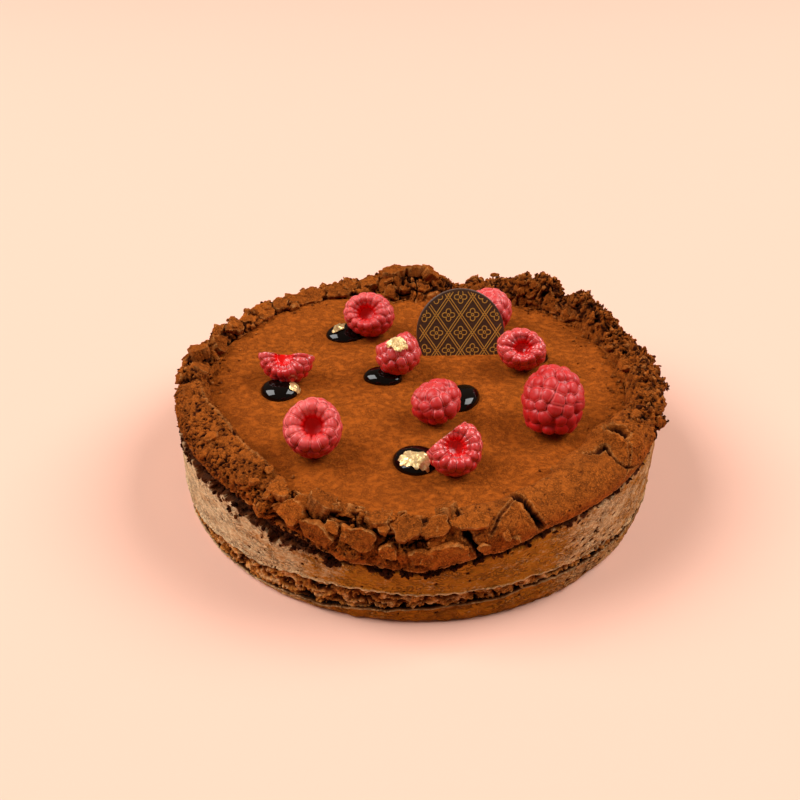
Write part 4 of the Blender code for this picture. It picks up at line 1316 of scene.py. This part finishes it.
@dataclass
class CocoaTop:
    """The mousse inside the rim, level and dusted: a square grid mapped to a disc, closed below."""

    cells: int = 288
    plain: float = 70.0
    crumbs: int = 900

    def height(self, x: Array, y: Array) -> Array:
        """Height of the dusted top: slow swells, soft drifts of powder, and a slight fall at the edge."""
        points = np.stack([x, y, np.zeros_like(x)], -1)
        bend = GRAIN.bend(points, 6.0, (3.0, 61.0, 19.0))
        drifts = 0.13 * GRAIN.waves(points + 2.0 * bend, (3.4, 2.2, 3.0), 2)
        drifts += 0.13 * GRAIN.waves(points + bend, (2.4, 1.2, 2.0))
        return FILLING_TOP + 0.30 * GRAIN.waves(points, 26.0, 2) + drifts - 0.1

    def build(self, finish: Material) -> None:
        """Makes the dusted top as one closed body, a plain disc that grows at its edge to meet the rim's foot."""
        count = self.cells
        x, y = unit_disc(count, count)
        angles = np.degrees(np.arctan2(y, x))
        reach = by_angle(RIM_SHAPE, angles)[2] + 1.5
        share = np.hypot(x, y)
        grow = self.plain + (reach - self.plain) * share ** 3
        x, y = x * grow, y * grow
        top = np.stack([x, y, self.height(x, y)], -1)
        loop = grid_loop(count, count)
        wall = top.reshape(-1, 3)[loop].copy()
        wall[:, 2] = DISH_FLOOR
        skirt = count * count + np.arange(len(loop))
        beside = np.roll(loop, -1), np.roll(skirt, -1)
        faces = [grid_faces(count, count, False, False),
                 np.stack([beside[0], loop, skirt, beside[1]], -1),
                 np.stack([beside[1], skirt, np.full(len(loop), count * count + len(loop))], -1)]
        points = np.concatenate([top.reshape(-1, 3), wall, [(0, 0, DISH_FLOOR)]])
        # depth falls in the low spots of the drifts as painted shade.
        shape = Shape(points, faces, {
            "depth": np.clip(0.85 + (points[:, 2] - FILLING_TOP) * 0.5, 0.5, 1),
            "tone": 0.3 * GRAIN.waves(points, 18.0, 3)})
        add_piece(shape.mesh("cocoa_top", finish), "cocoa", "cocoa_mousse")

    def loose(self, finish: Material) -> None:
        """Crumbs that fell from the rim, thickest at its foot."""
        maker = CrumbMaker(33)
        draw = maker.draw
        angles = draw.uniform(-180, 180, self.crumbs)
        density = 0.6 * by_angle(RIM_BREAK, angles)[3]
        angles = angles[draw.random(len(angles)) < density]
        radius = by_angle(RIM_SHAPE, angles)[2] + 0.8 - draw.exponential(2.2, len(angles))
        sizes = spread_sizes(draw, 0.5, 2.0, len(angles))
        places = turned(radius, angles, FILLING_TOP)
        places[:, 2] = self.height(places[:, 0], places[:, 1]) + 0.18 * sizes
        add_piece(maker.scatter(places, sizes).mesh("loose_crumbs", finish), "crust", "baked_crust")


# A berry's points: how many stand round it, and how far apart its rows are. A torn face's squares, in mm.
BERRY_COLUMNS, BERRY_ROW, TORN_SQUARE = 168, 0.36, 0.7


class Skin(Enum):
    """How a raspberry's skin looks."""

    FRESH = "fresh"
    WET = "wet"


@dataclass(frozen=True)
class Raspberry:
    """A raspberry, whose open end faces azimuth and elevation, and that flat squashes sideways.

    Where kept is a number, only the part below that distance over its axis is there. cell is a drupelet's
    width, and petals says how many long drupelets stand round the hollow.
    """

    x: float
    y: float
    width: float
    length: float
    flat: float
    azimuth: float
    elevation: float
    cell: float
    roll: float = 0
    hollow: bool = True
    kept: float | None = None
    petals: int = 15
    skin: Skin = Skin.FRESH
    uneven: float = 0.5
    bloom_and_highlight: float = 1.2

    def profile(self) -> Array:
        """Stations of the core under the drupelets, as (radius, height), from the hollow or the open end."""
        width, length, skin = self.width, self.length, 0.36 * self.cell
        if self.hollow:
            hole = 0.19 * width
            start = [(0.35 * hole, 0.06 * length), (0.85 * hole, 0.10 * length), (hole, 0.20 * length),
                     (1.15 * hole, 0.30 * length), (0.29 * width, 0.42 * length - 0.75 * skin)]
        else:
            top = 0.42 * length - skin
            start = [(0.04 * width, top), (0.16 * width, top - 0.1), (0.27 * width, top - 0.4)]
        side = ((0.80, 0.40), (0.97, 0.20), (1.00, -0.02), (0.93, -0.22), (0.75, -0.40), (0.45, -0.53), (0.08, -0.58))
        side = [(share * width / 2 - skin * min(1, share * 1.6), up * length + skin * (1 - share))
                for share, up in side]
        return np.array(start + side)

    def drupelets(self, draw: np.random.Generator) -> tuple[Array, ...]:
        """Where the drupelets sit: rows round the core, each staggered against the last.

        Args:
            draw: The source of random numbers.

        Returns:
            For each drupelet, its station on the core, its angle in degrees, and its half width along the
            meridian in mm, its half width round the axis in degrees and its height in mm.
        """
        stations = self.profile()
        fine = np.linspace(0, len(stations) - 1, 600)
        path = spline(stations, fine, False)
        along = lengths_along(path)
        rows = []
        if self.hollow:
            first = float(np.interp(4.35, fine, along))
            rows.append((first, self.petals, 0.80 * self.cell + 1.3))
            place = first + 1.2 * self.cell
        else:
            rows.append((0.0, 1, 0.56 * self.cell))
            place = 0.86 * self.cell
        while place < along[-1] - 0.2 * self.cell:
            radius = float(np.interp(place, along, path[:, 0]))
            round_it = round(2 * math.pi * (radius + 0.2 * self.cell) / self.cell)
            rows.append((place, max(3, round_it), 0.56 * self.cell))
            place += 0.84 * self.cell
        rows.append((float(along[-1]), 1, 0.5 * self.cell))
        station, angle, sizes = [], [], []
        for i, (place, count, tall) in enumerate(rows):
            turn = (np.arange(count) + 0.5 * (i % 2) + 0.15 * draw.random()) * 360 / count
            turn += draw.uniform(-60, 60, count) / count * self.uneven
            at = place + draw.uniform(-0.18, 0.18, count) * self.cell * self.uneven
            station += list(np.interp(at, along, fine))
            angle += list(turn)
            wide = 0.60 * 360 / count if count > 1 else 1e6
            grown = 1 + draw.uniform(-0.14, 0.14, count) * self.uneven
            high = (0.38 if self.hollow and i == 0 else 0.46) * self.cell
            sizes += [(tall * g, wide * g, high) for g in grown]
        return np.array(station), np.array(angle), np.array(sizes)

    def build(self, name: str, seed: int, finish: Material) -> Object:
        """Makes the berry: a core whose every point is raised by the drupelet over it.

        On the unrolled core a drupelet is a cushion: its height times (1 - share ^ 1.4) ^ 0.5, where share is the
        squared distance from its middle in half widths. The depth is how far the second least share lies over
        the least, so it is 0 where two drupelets meet.

        Args:
            name: The berry's name, which is its node's too.
            seed: What its random draws start from.
            finish: Its material.

        Returns:
            The berry.
        """
        draw = np.random.default_rng(seed)
        stations = self.profile()
        fine = np.linspace(0, len(stations) - 1, 900)
        path = spline(stations, fine, False)
        along = lengths_along(path)
        steps = np.interp(np.arange(0.15, along[-1] - 0.1, BERRY_ROW), along, fine)
        angles = np.arange(BERRY_COLUMNS) * 360 / BERRY_COLUMNS
        core = spline(stations, steps, False)
        ahead = np.gradient(core, axis=0)
        ahead /= np.linalg.norm(ahead, axis=1, keepdims=True)
        points = turned(core[:, :1], angles, core[:, 1:])
        normals = turned(-ahead[:, 1:], angles, ahead[:, :1])
        if float((normals * points).sum(-1)[len(steps) // 2].mean()) < 0:
            normals = -normals
        station, turn, sizes = self.drupelets(draw)
        middle, here = np.interp(station, fine, along), np.interp(steps, fine, along)
        down = (here[:, None, None] - middle) / sizes[:, 0]
        aside = ((angles[:, None] - turn + 180) % 360 - 180) / sizes[:, 1]
        share = (down ** 2 + aside ** 2).reshape(-1, len(sizes))
        best = share.argmin(1)
        least, next_least = np.partition(share, 1, axis=1)[:, :2].T
        height = np.maximum(sizes[best, 2] * np.sqrt(1 - np.minimum(least, 1) ** 1.4), 0.10 * self.cell)
        flat_points, flat_normals = points.reshape(-1, 3), normals.reshape(-1, 3)
        moved = flat_points + seed * 40
        grain = 0.10 * GRAIN.waves(moved, 1.9) + 0.35 * GRAIN.waves(moved, 5.0) + 1.3 * GRAIN.waves(moved, 14.0)
        height = height + grain * self.uneven
        made = flat_points + flat_normals * height[:, None]
        # depth is 0 where drupelets meet, where the crease colour paints shade.
        proud = np.clip((next_least - least) / 1.3, 0, 1)
        tones = draw.uniform(-1, 1, len(sizes))
        deep = smoothly((3.5 - np.repeat(steps, BERRY_COLUMNS)) / 1.2) if self.hollow else np.zeros(len(made))
        # Darker toward the hollow: painted shade.
        proud = proud * (1 - 0.7 * deep)
        values = {"depth": proud, "tone": tones[best], "inside": deep}
        shape = Shape.grid(made.reshape(points.shape), start=(0, 0, stations[0, 1]), end=(0, 0, made[-1, 2] - 0.1),
                           **{label: value.reshape(points.shape[:2]) for label, value in values.items()})
        shape.points[:, 1] *= self.flat
        stand = direction(self.azimuth, self.elevation).to_track_quat("Z", "Y").to_matrix()
        stand = stand @ Matrix.Rotation(math.radians(self.roll), 3, "Z")
        # The pale bloom and painted highlight is strongest on the berry's upper side, as painted light.
        high = shape.points @ np.array(stand)[2]
        high = (high - high.min()) / np.ptp(high)
        painted_upper_light = 0.10 + 0.90 * smoothly((high - 0.30) / 0.45)
        shape.values["bloom_and_highlight"] = self.bloom_and_highlight * painted_upper_light * (1 - shape.values["inside"])
        mesh = shape.mesh(name, finish)
        if self.kept is not None:
            self.tear(mesh, self.kept * MM)
        mesh.transform(stand.to_4x4())
        lowest = min(point.co.z for point in mesh.vertices)
        mesh.transform(Matrix.Translation((self.x * MM, self.y * MM, (FILLING_TOP - 0.2) * MM - lowest)))
        return add_piece(mesh, "raspberry", name)

    def tear(self, mesh: Mesh, cut_at: float) -> None:
        """Takes away what lies above y = cut_at, and closes the cut with a face of bare flesh.

        The face is cut into squares, and its inner points sink by a noise: 0.5 mm, and 0.5 mm times the noise.

        Args:
            mesh: The berry's mesh, before it is turned.
            cut_at: The place of the cut, in metres.
        """
        work = bmesh.new()
        work.from_mesh(mesh)
        cut = bmesh.ops.bisect_plane(work, geom=work.verts[:] + work.edges[:] + work.faces[:],
                                     plane_co=(0, cut_at, 0), plane_no=(0, 1, 0), clear_outer=True)
        outline = [part for part in cut["geom_cut"] if isinstance(part, bmesh.types.BMEdge)]
        torn = bmesh.ops.holes_fill(work, edges=outline, sides=0)["faces"]
        for axis in (0, 2):
            places = [vert.co[axis] for face in torn for vert in face.verts]
            for at in np.arange(min(places) + 0.4 * MM, max(places), TORN_SQUARE * MM):
                middle, normal = Vector((0, cut_at, 0)), Vector((0, 0, 0))
                middle[axis], normal[axis] = at, 1
                parts = {part for face in torn for part in (face, *face.edges, *face.verts)}
                parts = bmesh.ops.bisect_plane(work, geom=list(parts), plane_co=middle, plane_no=normal)["geom"]
                torn = [part for part in parts if isinstance(part, bmesh.types.BMFace)]
        bmesh.ops.recalc_face_normals(work, faces=work.faces)
        torn = set(torn)
        flesh = [vert for vert in {vert for face in torn for vert in face.verts} if torn.issuperset(vert.link_faces)]
        work.verts.index_update()
        flesh = np.array([vert.index for vert in flesh])
        work.to_mesh(mesh)
        work.free()
        places = np.empty(len(mesh.vertices) * 3, np.float32)
        mesh.vertices.foreach_get("co", places)
        places = places.reshape(-1, 3)
        rough = GRAIN.waves(places[flesh] / MM + 40 * self.x, 1.7, 2)
        places[flesh, 1] -= (0.5 + 0.5 * rough) * MM
        mesh.vertices.foreach_set("co", places.ravel())
        for name, value in (("inside", 0.3 - 0.5 * rough), ("depth", 0.55 + 0.6 * rough), ("bloom_and_highlight", 0.8 + rough)):
            values = np.empty(len(places), np.float32)
            mesh.attributes[name].data.foreach_get("value", values)
            values[flesh] = np.clip(value, 0, 1.5)
            mesh.attributes[name].data.foreach_set("value", values)


RASPBERRIES = (
    Raspberry(-19.5, 37.2, 20.0, 14.5, 0.88, -100, 42, cell=3.9, petals=14),
    Raspberry(30.3, 41.5, 18.5, 14.0, 1.00, 60, -78, cell=4.2, hollow=False),
    Raspberry(-6.8, 7.2, 19.6, 12.0, 0.84, 138, 54, cell=4.3, roll=20, petals=12, skin=Skin.WET, uneven=0.8),
    Raspberry(40.8, 11.2, 19.0, 12.0, 0.84, -100, 44, cell=3.6, petals=13, skin=Skin.WET, uneven=1.0),
    Raspberry(-49.9, 4.4, 20.3, 11.0, 1.00, -95, 42, cell=3.4, kept=0.8, petals=18, skin=Skin.WET, uneven=0.8),
    Raspberry(-35.7, -43.6, 19.7, 16.5, 1.02, -88, 46, cell=4.0, petals=13, uneven=0.7, bloom_and_highlight=1.5),
    Raspberry(5.8, -23.2, 18.0, 11.0, 1.00, -20, -72, cell=4.2, roll=15, hollow=False, uneven=1.0, bloom_and_highlight=0.65),
    Raspberry(47.0, -27.5, 21.6, 19.8, 1.00, -100, -72, cell=4.6, roll=30, hollow=False, uneven=1.2, bloom_and_highlight=0.4),
    Raspberry(11.6, -51.4, 18.4, 11.5, 1.00, -85, 48, cell=3.6, roll=35, kept=4.8, petals=15, skin=Skin.WET,
              uneven=0.9),
)


@dataclass(frozen=True)
class GlazeDrop:
    """A drop of glaze with its long axis turned from +X by turn degrees."""

    x: float
    y: float
    length: float
    width: float
    turn: float
    height: float

    def surface(self, x: Array, y: Array) -> Array:
        """Height of the drop over the cocoa at a place: (1 - share of the radius ^ DROP_FLAT) ^ DROP_ROUND."""
        along, across = spun(x - self.x, y - self.y, -self.turn)
        share = np.minimum(np.hypot(along / (self.length / 2), across / (self.width / 2)), 1.0)
        return FILLING_TOP + self.height * (1 - share ** DROP_FLAT) ** DROP_ROUND

    def build(self, name: str, finish: Material) -> None:
        """Makes the drop as rings from its top to its foot, closed below."""
        angles = np.arange(96) * 360 / 96
        turn = np.linspace(0, np.pi / 2, 30)[1:]
        share = np.sin(turn)[:, None] ** 0.9
        up = (1 - share ** DROP_FLAT).clip(0) ** DROP_ROUND
        share = np.concatenate([share, [[1.0]], [[0.97]]])
        up = np.concatenate([up, [[-0.08]], [[-0.2]]])
        wobble = 1 + 0.02 * np.cos(np.radians(3 * angles + self.x * 50)) + 0.015 * np.cos(np.radians(2 * angles + 40))
        x, y, height = np.moveaxis(turned(share * wobble, angles, FILLING_TOP + up * self.height), -1, 0)
        x, y = spun(x * self.length / 2, y * self.width / 2, self.turn)
        points = np.stack([self.x + x, self.y + y, height], -1)
        shape = Shape.grid(points, start=(self.x, self.y, FILLING_TOP + self.height),
                           end=(self.x, self.y, FILLING_TOP - 0.2 * self.height))
        add_piece(shape.mesh(name, finish), "glaze", name)


DROPS = (
    GlazeDrop(-28.9, 37.2, 17.0, 13.6, 20, 3.2),
    GlazeDrop(-13.2, 3.8, 15.0, 11.4, -10, 3.4),
    GlazeDrop(-51.8, -5.4, 14.6, 14.0, 0, 3.6),
    GlazeDrop(16.6, -10.7, 16.6, 13.0, 70, 3.6),
    GlazeDrop(-1.2, -48.0, 15.5, 15.2, 5, 3.6),
    GlazeDrop(46.0, 18.5, 13.5, 11.5, 20, 3.2),
)


@dataclass(frozen=True)
class GoldLeaf:
    """A torn scrap of gold leaf that lies over what carries it."""

    name: str
    x: float
    y: float
    length: float
    width: float
    turn: float
    drop: int | None
    thick: float = 0.12
    reach: float = 1.3

    def over(self, carrier: Object, x: Array, y: Array) -> Array:
        """The height of a carrier under each point: its highest point within reach."""
        points = np.empty(len(carrier.data.vertices) * 3)
        carrier.data.vertices.foreach_get("co", points)
        points = points.reshape(-1, 3) / MM
        near = np.hypot(x.ravel()[:, None] - points[:, 0], y.ravel()[:, None] - points[:, 1]) < self.reach
        return np.where(near, points[:, 2], FILLING_TOP).max(1).reshape(x.shape)

    def build(self, seed: int, node: str, carrier: Object, finish: Material) -> None:
        """Makes the scrap: a grid with a torn outline, laid on its carrier and crumpled, with a thin wall.

        Args:
            seed: Which part of the noise tears and crumples it.
            node: The node that it is fused to.
            carrier: The berry that carries it, where no drop does.
            finish: Its material.
        """
        x, y = unit_disc(24, 34)
        angles = np.arctan2(y, x)
        rim = np.stack([np.cos(angles), np.sin(angles), np.full_like(x, seed * 7.1)], -1)
        torn = 0.95 + 0.28 * GRAIN.waves(rim * 1.5, 1.0, 3)
        x, y = spun(x * torn * self.length / 2, y * torn * self.width / 2, self.turn)
        x, y = self.x + x, self.y + y
        place = np.stack([x, y, np.full_like(x, 3.0 * seed)], -1)
        crumple = 0.8 * GRAIN.ridges(place, 3.0, 2.0) + 0.35 * np.abs(GRAIN.waves(place, 1.3))
        if self.drop is None:
            lies = self.over(carrier, x, y)
        else:
            lies = DROPS[self.drop - 1].surface(x, y)
        top = np.stack([x, y, lies + 0.25 + 0.5 * crumple], -1)
        face, loop = grid_faces(*x.shape, False, False), grid_loop(*x.shape)
        below = loop + x.size
        faces = [face, face[:, ::-1] + x.size, np.stack([np.roll(loop, -1), loop, below, np.roll(below, -1)], -1)]
        points = np.concatenate([top.reshape(-1, 3), top.reshape(-1, 3) - (0, 0, self.thick)])
        slot = "raspberry" if self.drop is None else "glaze"
        add_piece(Shape(points, faces).mesh(self.name, finish, smooth=False), slot, node)


LEAVES = (
    GoldLeaf("gold_leaf_1", -32.0, 36.8, 7.4, 4.6, 62, 1),
    GoldLeaf("gold_leaf_2", -46.0, -6.2, 5.6, 4.2, 70, 3),
    GoldLeaf("gold_leaf_3", -1.8, -51.4, 11.4, 7.4, -12, 5),
    GoldLeaf("gold_leaf_4", -7.4, 1.6, 7.6, 5.4, -12, None),
)


@dataclass
class ChocolateDisc:
    """The dark chocolate disc that stands in the top and leans back, with fine gold lines on its front."""

    radius: float = 17.5
    thickness: float = 2.0
    lean: float = 20.0
    turn: float = 2.0
    sunk: float = 8.8
    foot: tuple[float, float, float] = (17.7, 21.6, 34.0)
    lattice: float = 9.6
    line: float = 0.40

    def matrix(self) -> Matrix:
        """Where the disc stands: its own Z is the way its front faces."""
        turn = Matrix.Rotation(math.radians(self.turn), 4, "Z")
        lean = math.radians(self.lean)
        up = Vector((0, math.sin(lean), math.cos(lean)))
        centre = (Vector(self.foot) + turn @ up * (self.radius - self.sunk)) * MM
        return Matrix.Translation(centre) @ turn @ Matrix.Rotation(math.pi / 2 - lean, 4, "X")

    def body(self, finish: Material) -> None:
        """The disc: a flat round with softly rounded edges."""
        half, soft = self.thickness / 2, 0.35
        corner = np.radians(np.linspace(0, 90, 6))
        ring = [(share * (self.radius - soft), half) for share in np.linspace(0.05, 1, 24)]
        ring += [(self.radius - soft + soft * math.sin(a), half - soft + soft * math.cos(a)) for a in corner[1:]]
        ring += [(r, -z) for r, z in ring[::-1]]
        ring = np.array(ring)
        angles = np.arange(160) * 360 / 160
        points = turned(ring[:, :1], angles, ring[:, 1:])
        points[..., 2] += np.sign(points[..., 2]) * 0.02 * GRAIN.waves(points, 5.0, 2)
        shape = Shape.grid(points, start=(0, 0, half), end=(0, 0, -half))
        mesh = shape.mesh("chocolate_disc_body", finish)
        mesh.transform(self.matrix())
        add_piece(mesh, "disc", "chocolate_disc")

    def curves(self) -> list[Array]:
        """The drawn lines: a double net of diamonds with a small four-petalled flower in each diamond.

        Returns:
            The lines, as points in the plane of the disc's front.
        """
        made = []
        slant = math.radians(56)
        along = np.linspace(-30, 30, 400)
        tall = self.lattice * math.tan(slant)
        for i in range(-5, 6):
            for shift in (-0.55, 0.55):
                x = along * math.cos(slant) + (i + 0.5) * self.lattice + shift
                made += [np.stack([x, side * along * math.sin(slant)], -1) for side in (1, -1)]
        turn = np.linspace(0, 2 * np.pi, 97)
        for i in range(-4, 5):
            for j in range(-3, 4):
                centre = np.array([i + 0.5 * (j % 2), 0.5 * j]) * (self.lattice, tall)
                for size, notch in ((2.5, 0.6), (0.5, 0.0)):
                    petals = size * (1 - notch + notch * np.abs(np.cos(2 * turn)) ** 0.8)
                    made.append(centre + np.stack([petals * np.cos(turn), petals * np.sin(turn)], -1))
        reach = self.radius - 0.9
        kept = []
        for curve in made:
            inside = np.linalg.norm(curve, axis=1) < reach
            edges = np.flatnonzero(np.diff(np.concatenate([[0], inside.astype(int), [0]])))
            kept += [curve[a:b] for a, b in zip(edges[::2], edges[1::2]) if b - a > 3]
        return kept

    def lines(self, finish: Material) -> None:
        """The gold lines, as low flat ribbons on the front face."""
        shapes = []
        for curve in self.curves():
            ahead = np.gradient(curve, axis=0)
            ahead /= np.maximum(np.linalg.norm(ahead, axis=1, keepdims=True), 1e-9)
            side = np.stack([-ahead[:, 1], ahead[:, 0]], -1) * self.line / 2
            top, foot = self.thickness / 2 + 0.09, self.thickness / 2 - 0.03
            rows = [(curve - side, foot), (curve - 0.7 * side, top), (curve + 0.7 * side, top), (curve + side, foot)]
            grid = np.stack([np.concatenate([xy, np.full((len(xy), 1), z)], 1) for xy, z in rows], 1)
            ribbon = Shape.grid(grid)
            ribbon.faces += [np.array([[0, 1, 2, 3]]), np.array([[3, 2, 1, 0]]) + (len(curve) - 1) * 4]
            shapes.append(ribbon)
        mesh = Shape.joined(shapes).mesh("chocolate_disc_lines", finish, smooth=False)
        mesh.transform(self.matrix())
        add_piece(mesh, "disc", "chocolate_disc")


@dataclass
class Studio:
    """The camera at the photograph's angle, two soft windows and a pale floor."""

    lens: float = 40.5
    place: tuple[float, float, float] = (-0.0065, -0.28741, 0.22424)
    pitch: float = 55.42
    floor: str = "F0BEA8"
    floor_dark: str = "ECBAA4"
    reach: float = 5.0
    away: float = 3.0

    def camera(self) -> None:
        """Sets the camera."""
        data = bpy.data.cameras.new("camera")
        data.lens, data.sensor_width = self.lens, 36.0
        data.clip_start, data.clip_end = 0.01, 50.0
        camera = put("camera", data)
        camera.location = self.place
        camera.rotation_euler = (math.radians(self.pitch), 0, 0)
        bpy.context.scene.camera = camera

    def light(self, name: str, azimuth: float, elevation: float, size: float, radiance: float, colour: str) -> None:
        """A square soft light aimed at the cake. Its power is radiance times pi times its area.

        Args:
            name: The light's name.
            azimuth: Where it stands round the cake, in degrees.
            elevation: How high it stands, in degrees.
            size: Its side, in metres.
            radiance: How bright its face is.
            colour: Its sRGB hex colour.
        """
        data = bpy.data.lights.new(name, "AREA")
        data.shape, data.size = "SQUARE", size
        data.energy = radiance * math.pi * size ** 2
        data.color = linear(colour)[:3]
        lamp = put(name, data)
        way = direction(azimuth, elevation)
        lamp.location = way * self.away
        lamp.rotation_euler = way.to_track_quat("Z", "Y").to_euler()

    def ground(self) -> None:
        """A plain pale floor."""
        material, add, shader = new_material("painted floor, matt")
        mottle = add("TexNoise", {"Vector": add("TexCoord", output="Object"), "Scale": 8.0, "Detail": 2.0})
        share = add("MapRange", {0: mottle, 4: 0.15})
        colour = add("Mix", {0: share, 6: linear(self.floor), 7: linear(self.floor_dark)}, 2, data_type="RGBA")
        set_inputs(shader, {"Base Color": colour, "Roughness": 0.9, "Specular IOR Level": 0.1})
        mesh = bpy.data.meshes.new("floor")
        corners = [(x * self.reach, y * self.reach, -2e-5) for x, y in ((-1, -1), (1, -1), (1, 1), (-1, 1))]
        mesh.from_pydata(corners, [], [(0, 1, 2, 3)])
        mesh.materials.append(material)
        put("floor", mesh)

    def build(self) -> None:
        """Sets the whole studio."""
        self.camera()
        self.light("window_left", 178.0, 48.0, 2.0, 8.0, "FFFFFF")
        self.light("window_right", 10.0, 48.0, 1.9, 7.6, "FFFFFF")
        self.ground()
        world = bpy.data.worlds.new("room")
        bpy.context.scene.world = world
        world.use_nodes = True
        set_inputs(world.node_tree.nodes["Background"], {"Color": linear("FFE0CC"), "Strength": 0.14})
        bpy.context.scene.view_settings.view_transform = "Standard"


def main() -> None:
    """Builds the cake from its base to its decorations, then the studio round it."""
    logging.basicConfig(level=logging.INFO, format="%(name)s: %(message)s")
    Studio().build()
    side = SideLayers()
    side.base(BASE.make())
    side.sponge(SPONGE.make())
    crust = CRUST.make()
    side.mousse(MOUSSE.make(), crust)
    CrustRim().build(crust)
    top = CocoaTop()
    top.build(COCOA.make())
    top.loose(crust)
    skins = {Skin.FRESH: FRESH.make(), Skin.WET: WET.make()}
    berries = [berry.build(f"raspberry_{i + 1}", i + 1, skins[berry.skin]) for i, berry in enumerate(RASPBERRIES)]
    glaze = GLAZE.make()
    for i, drop in enumerate(DROPS):
        drop.build(f"glaze_drop_{i + 1}", glaze)
    leaf = GOLD_LEAF.make()
    for i, (scrap, node) in enumerate(zip(LEAVES, ("glaze_drop_1", "glaze_drop_3", "glaze_drop_5", "raspberry_3"))):
        scrap.build(i, node, berries[2], leaf)
    disc = ChocolateDisc()
    disc.body(TEMPERED.make())
    disc.lines(GOLD_PRINT.make())


if __name__ == "__main__":
    main()
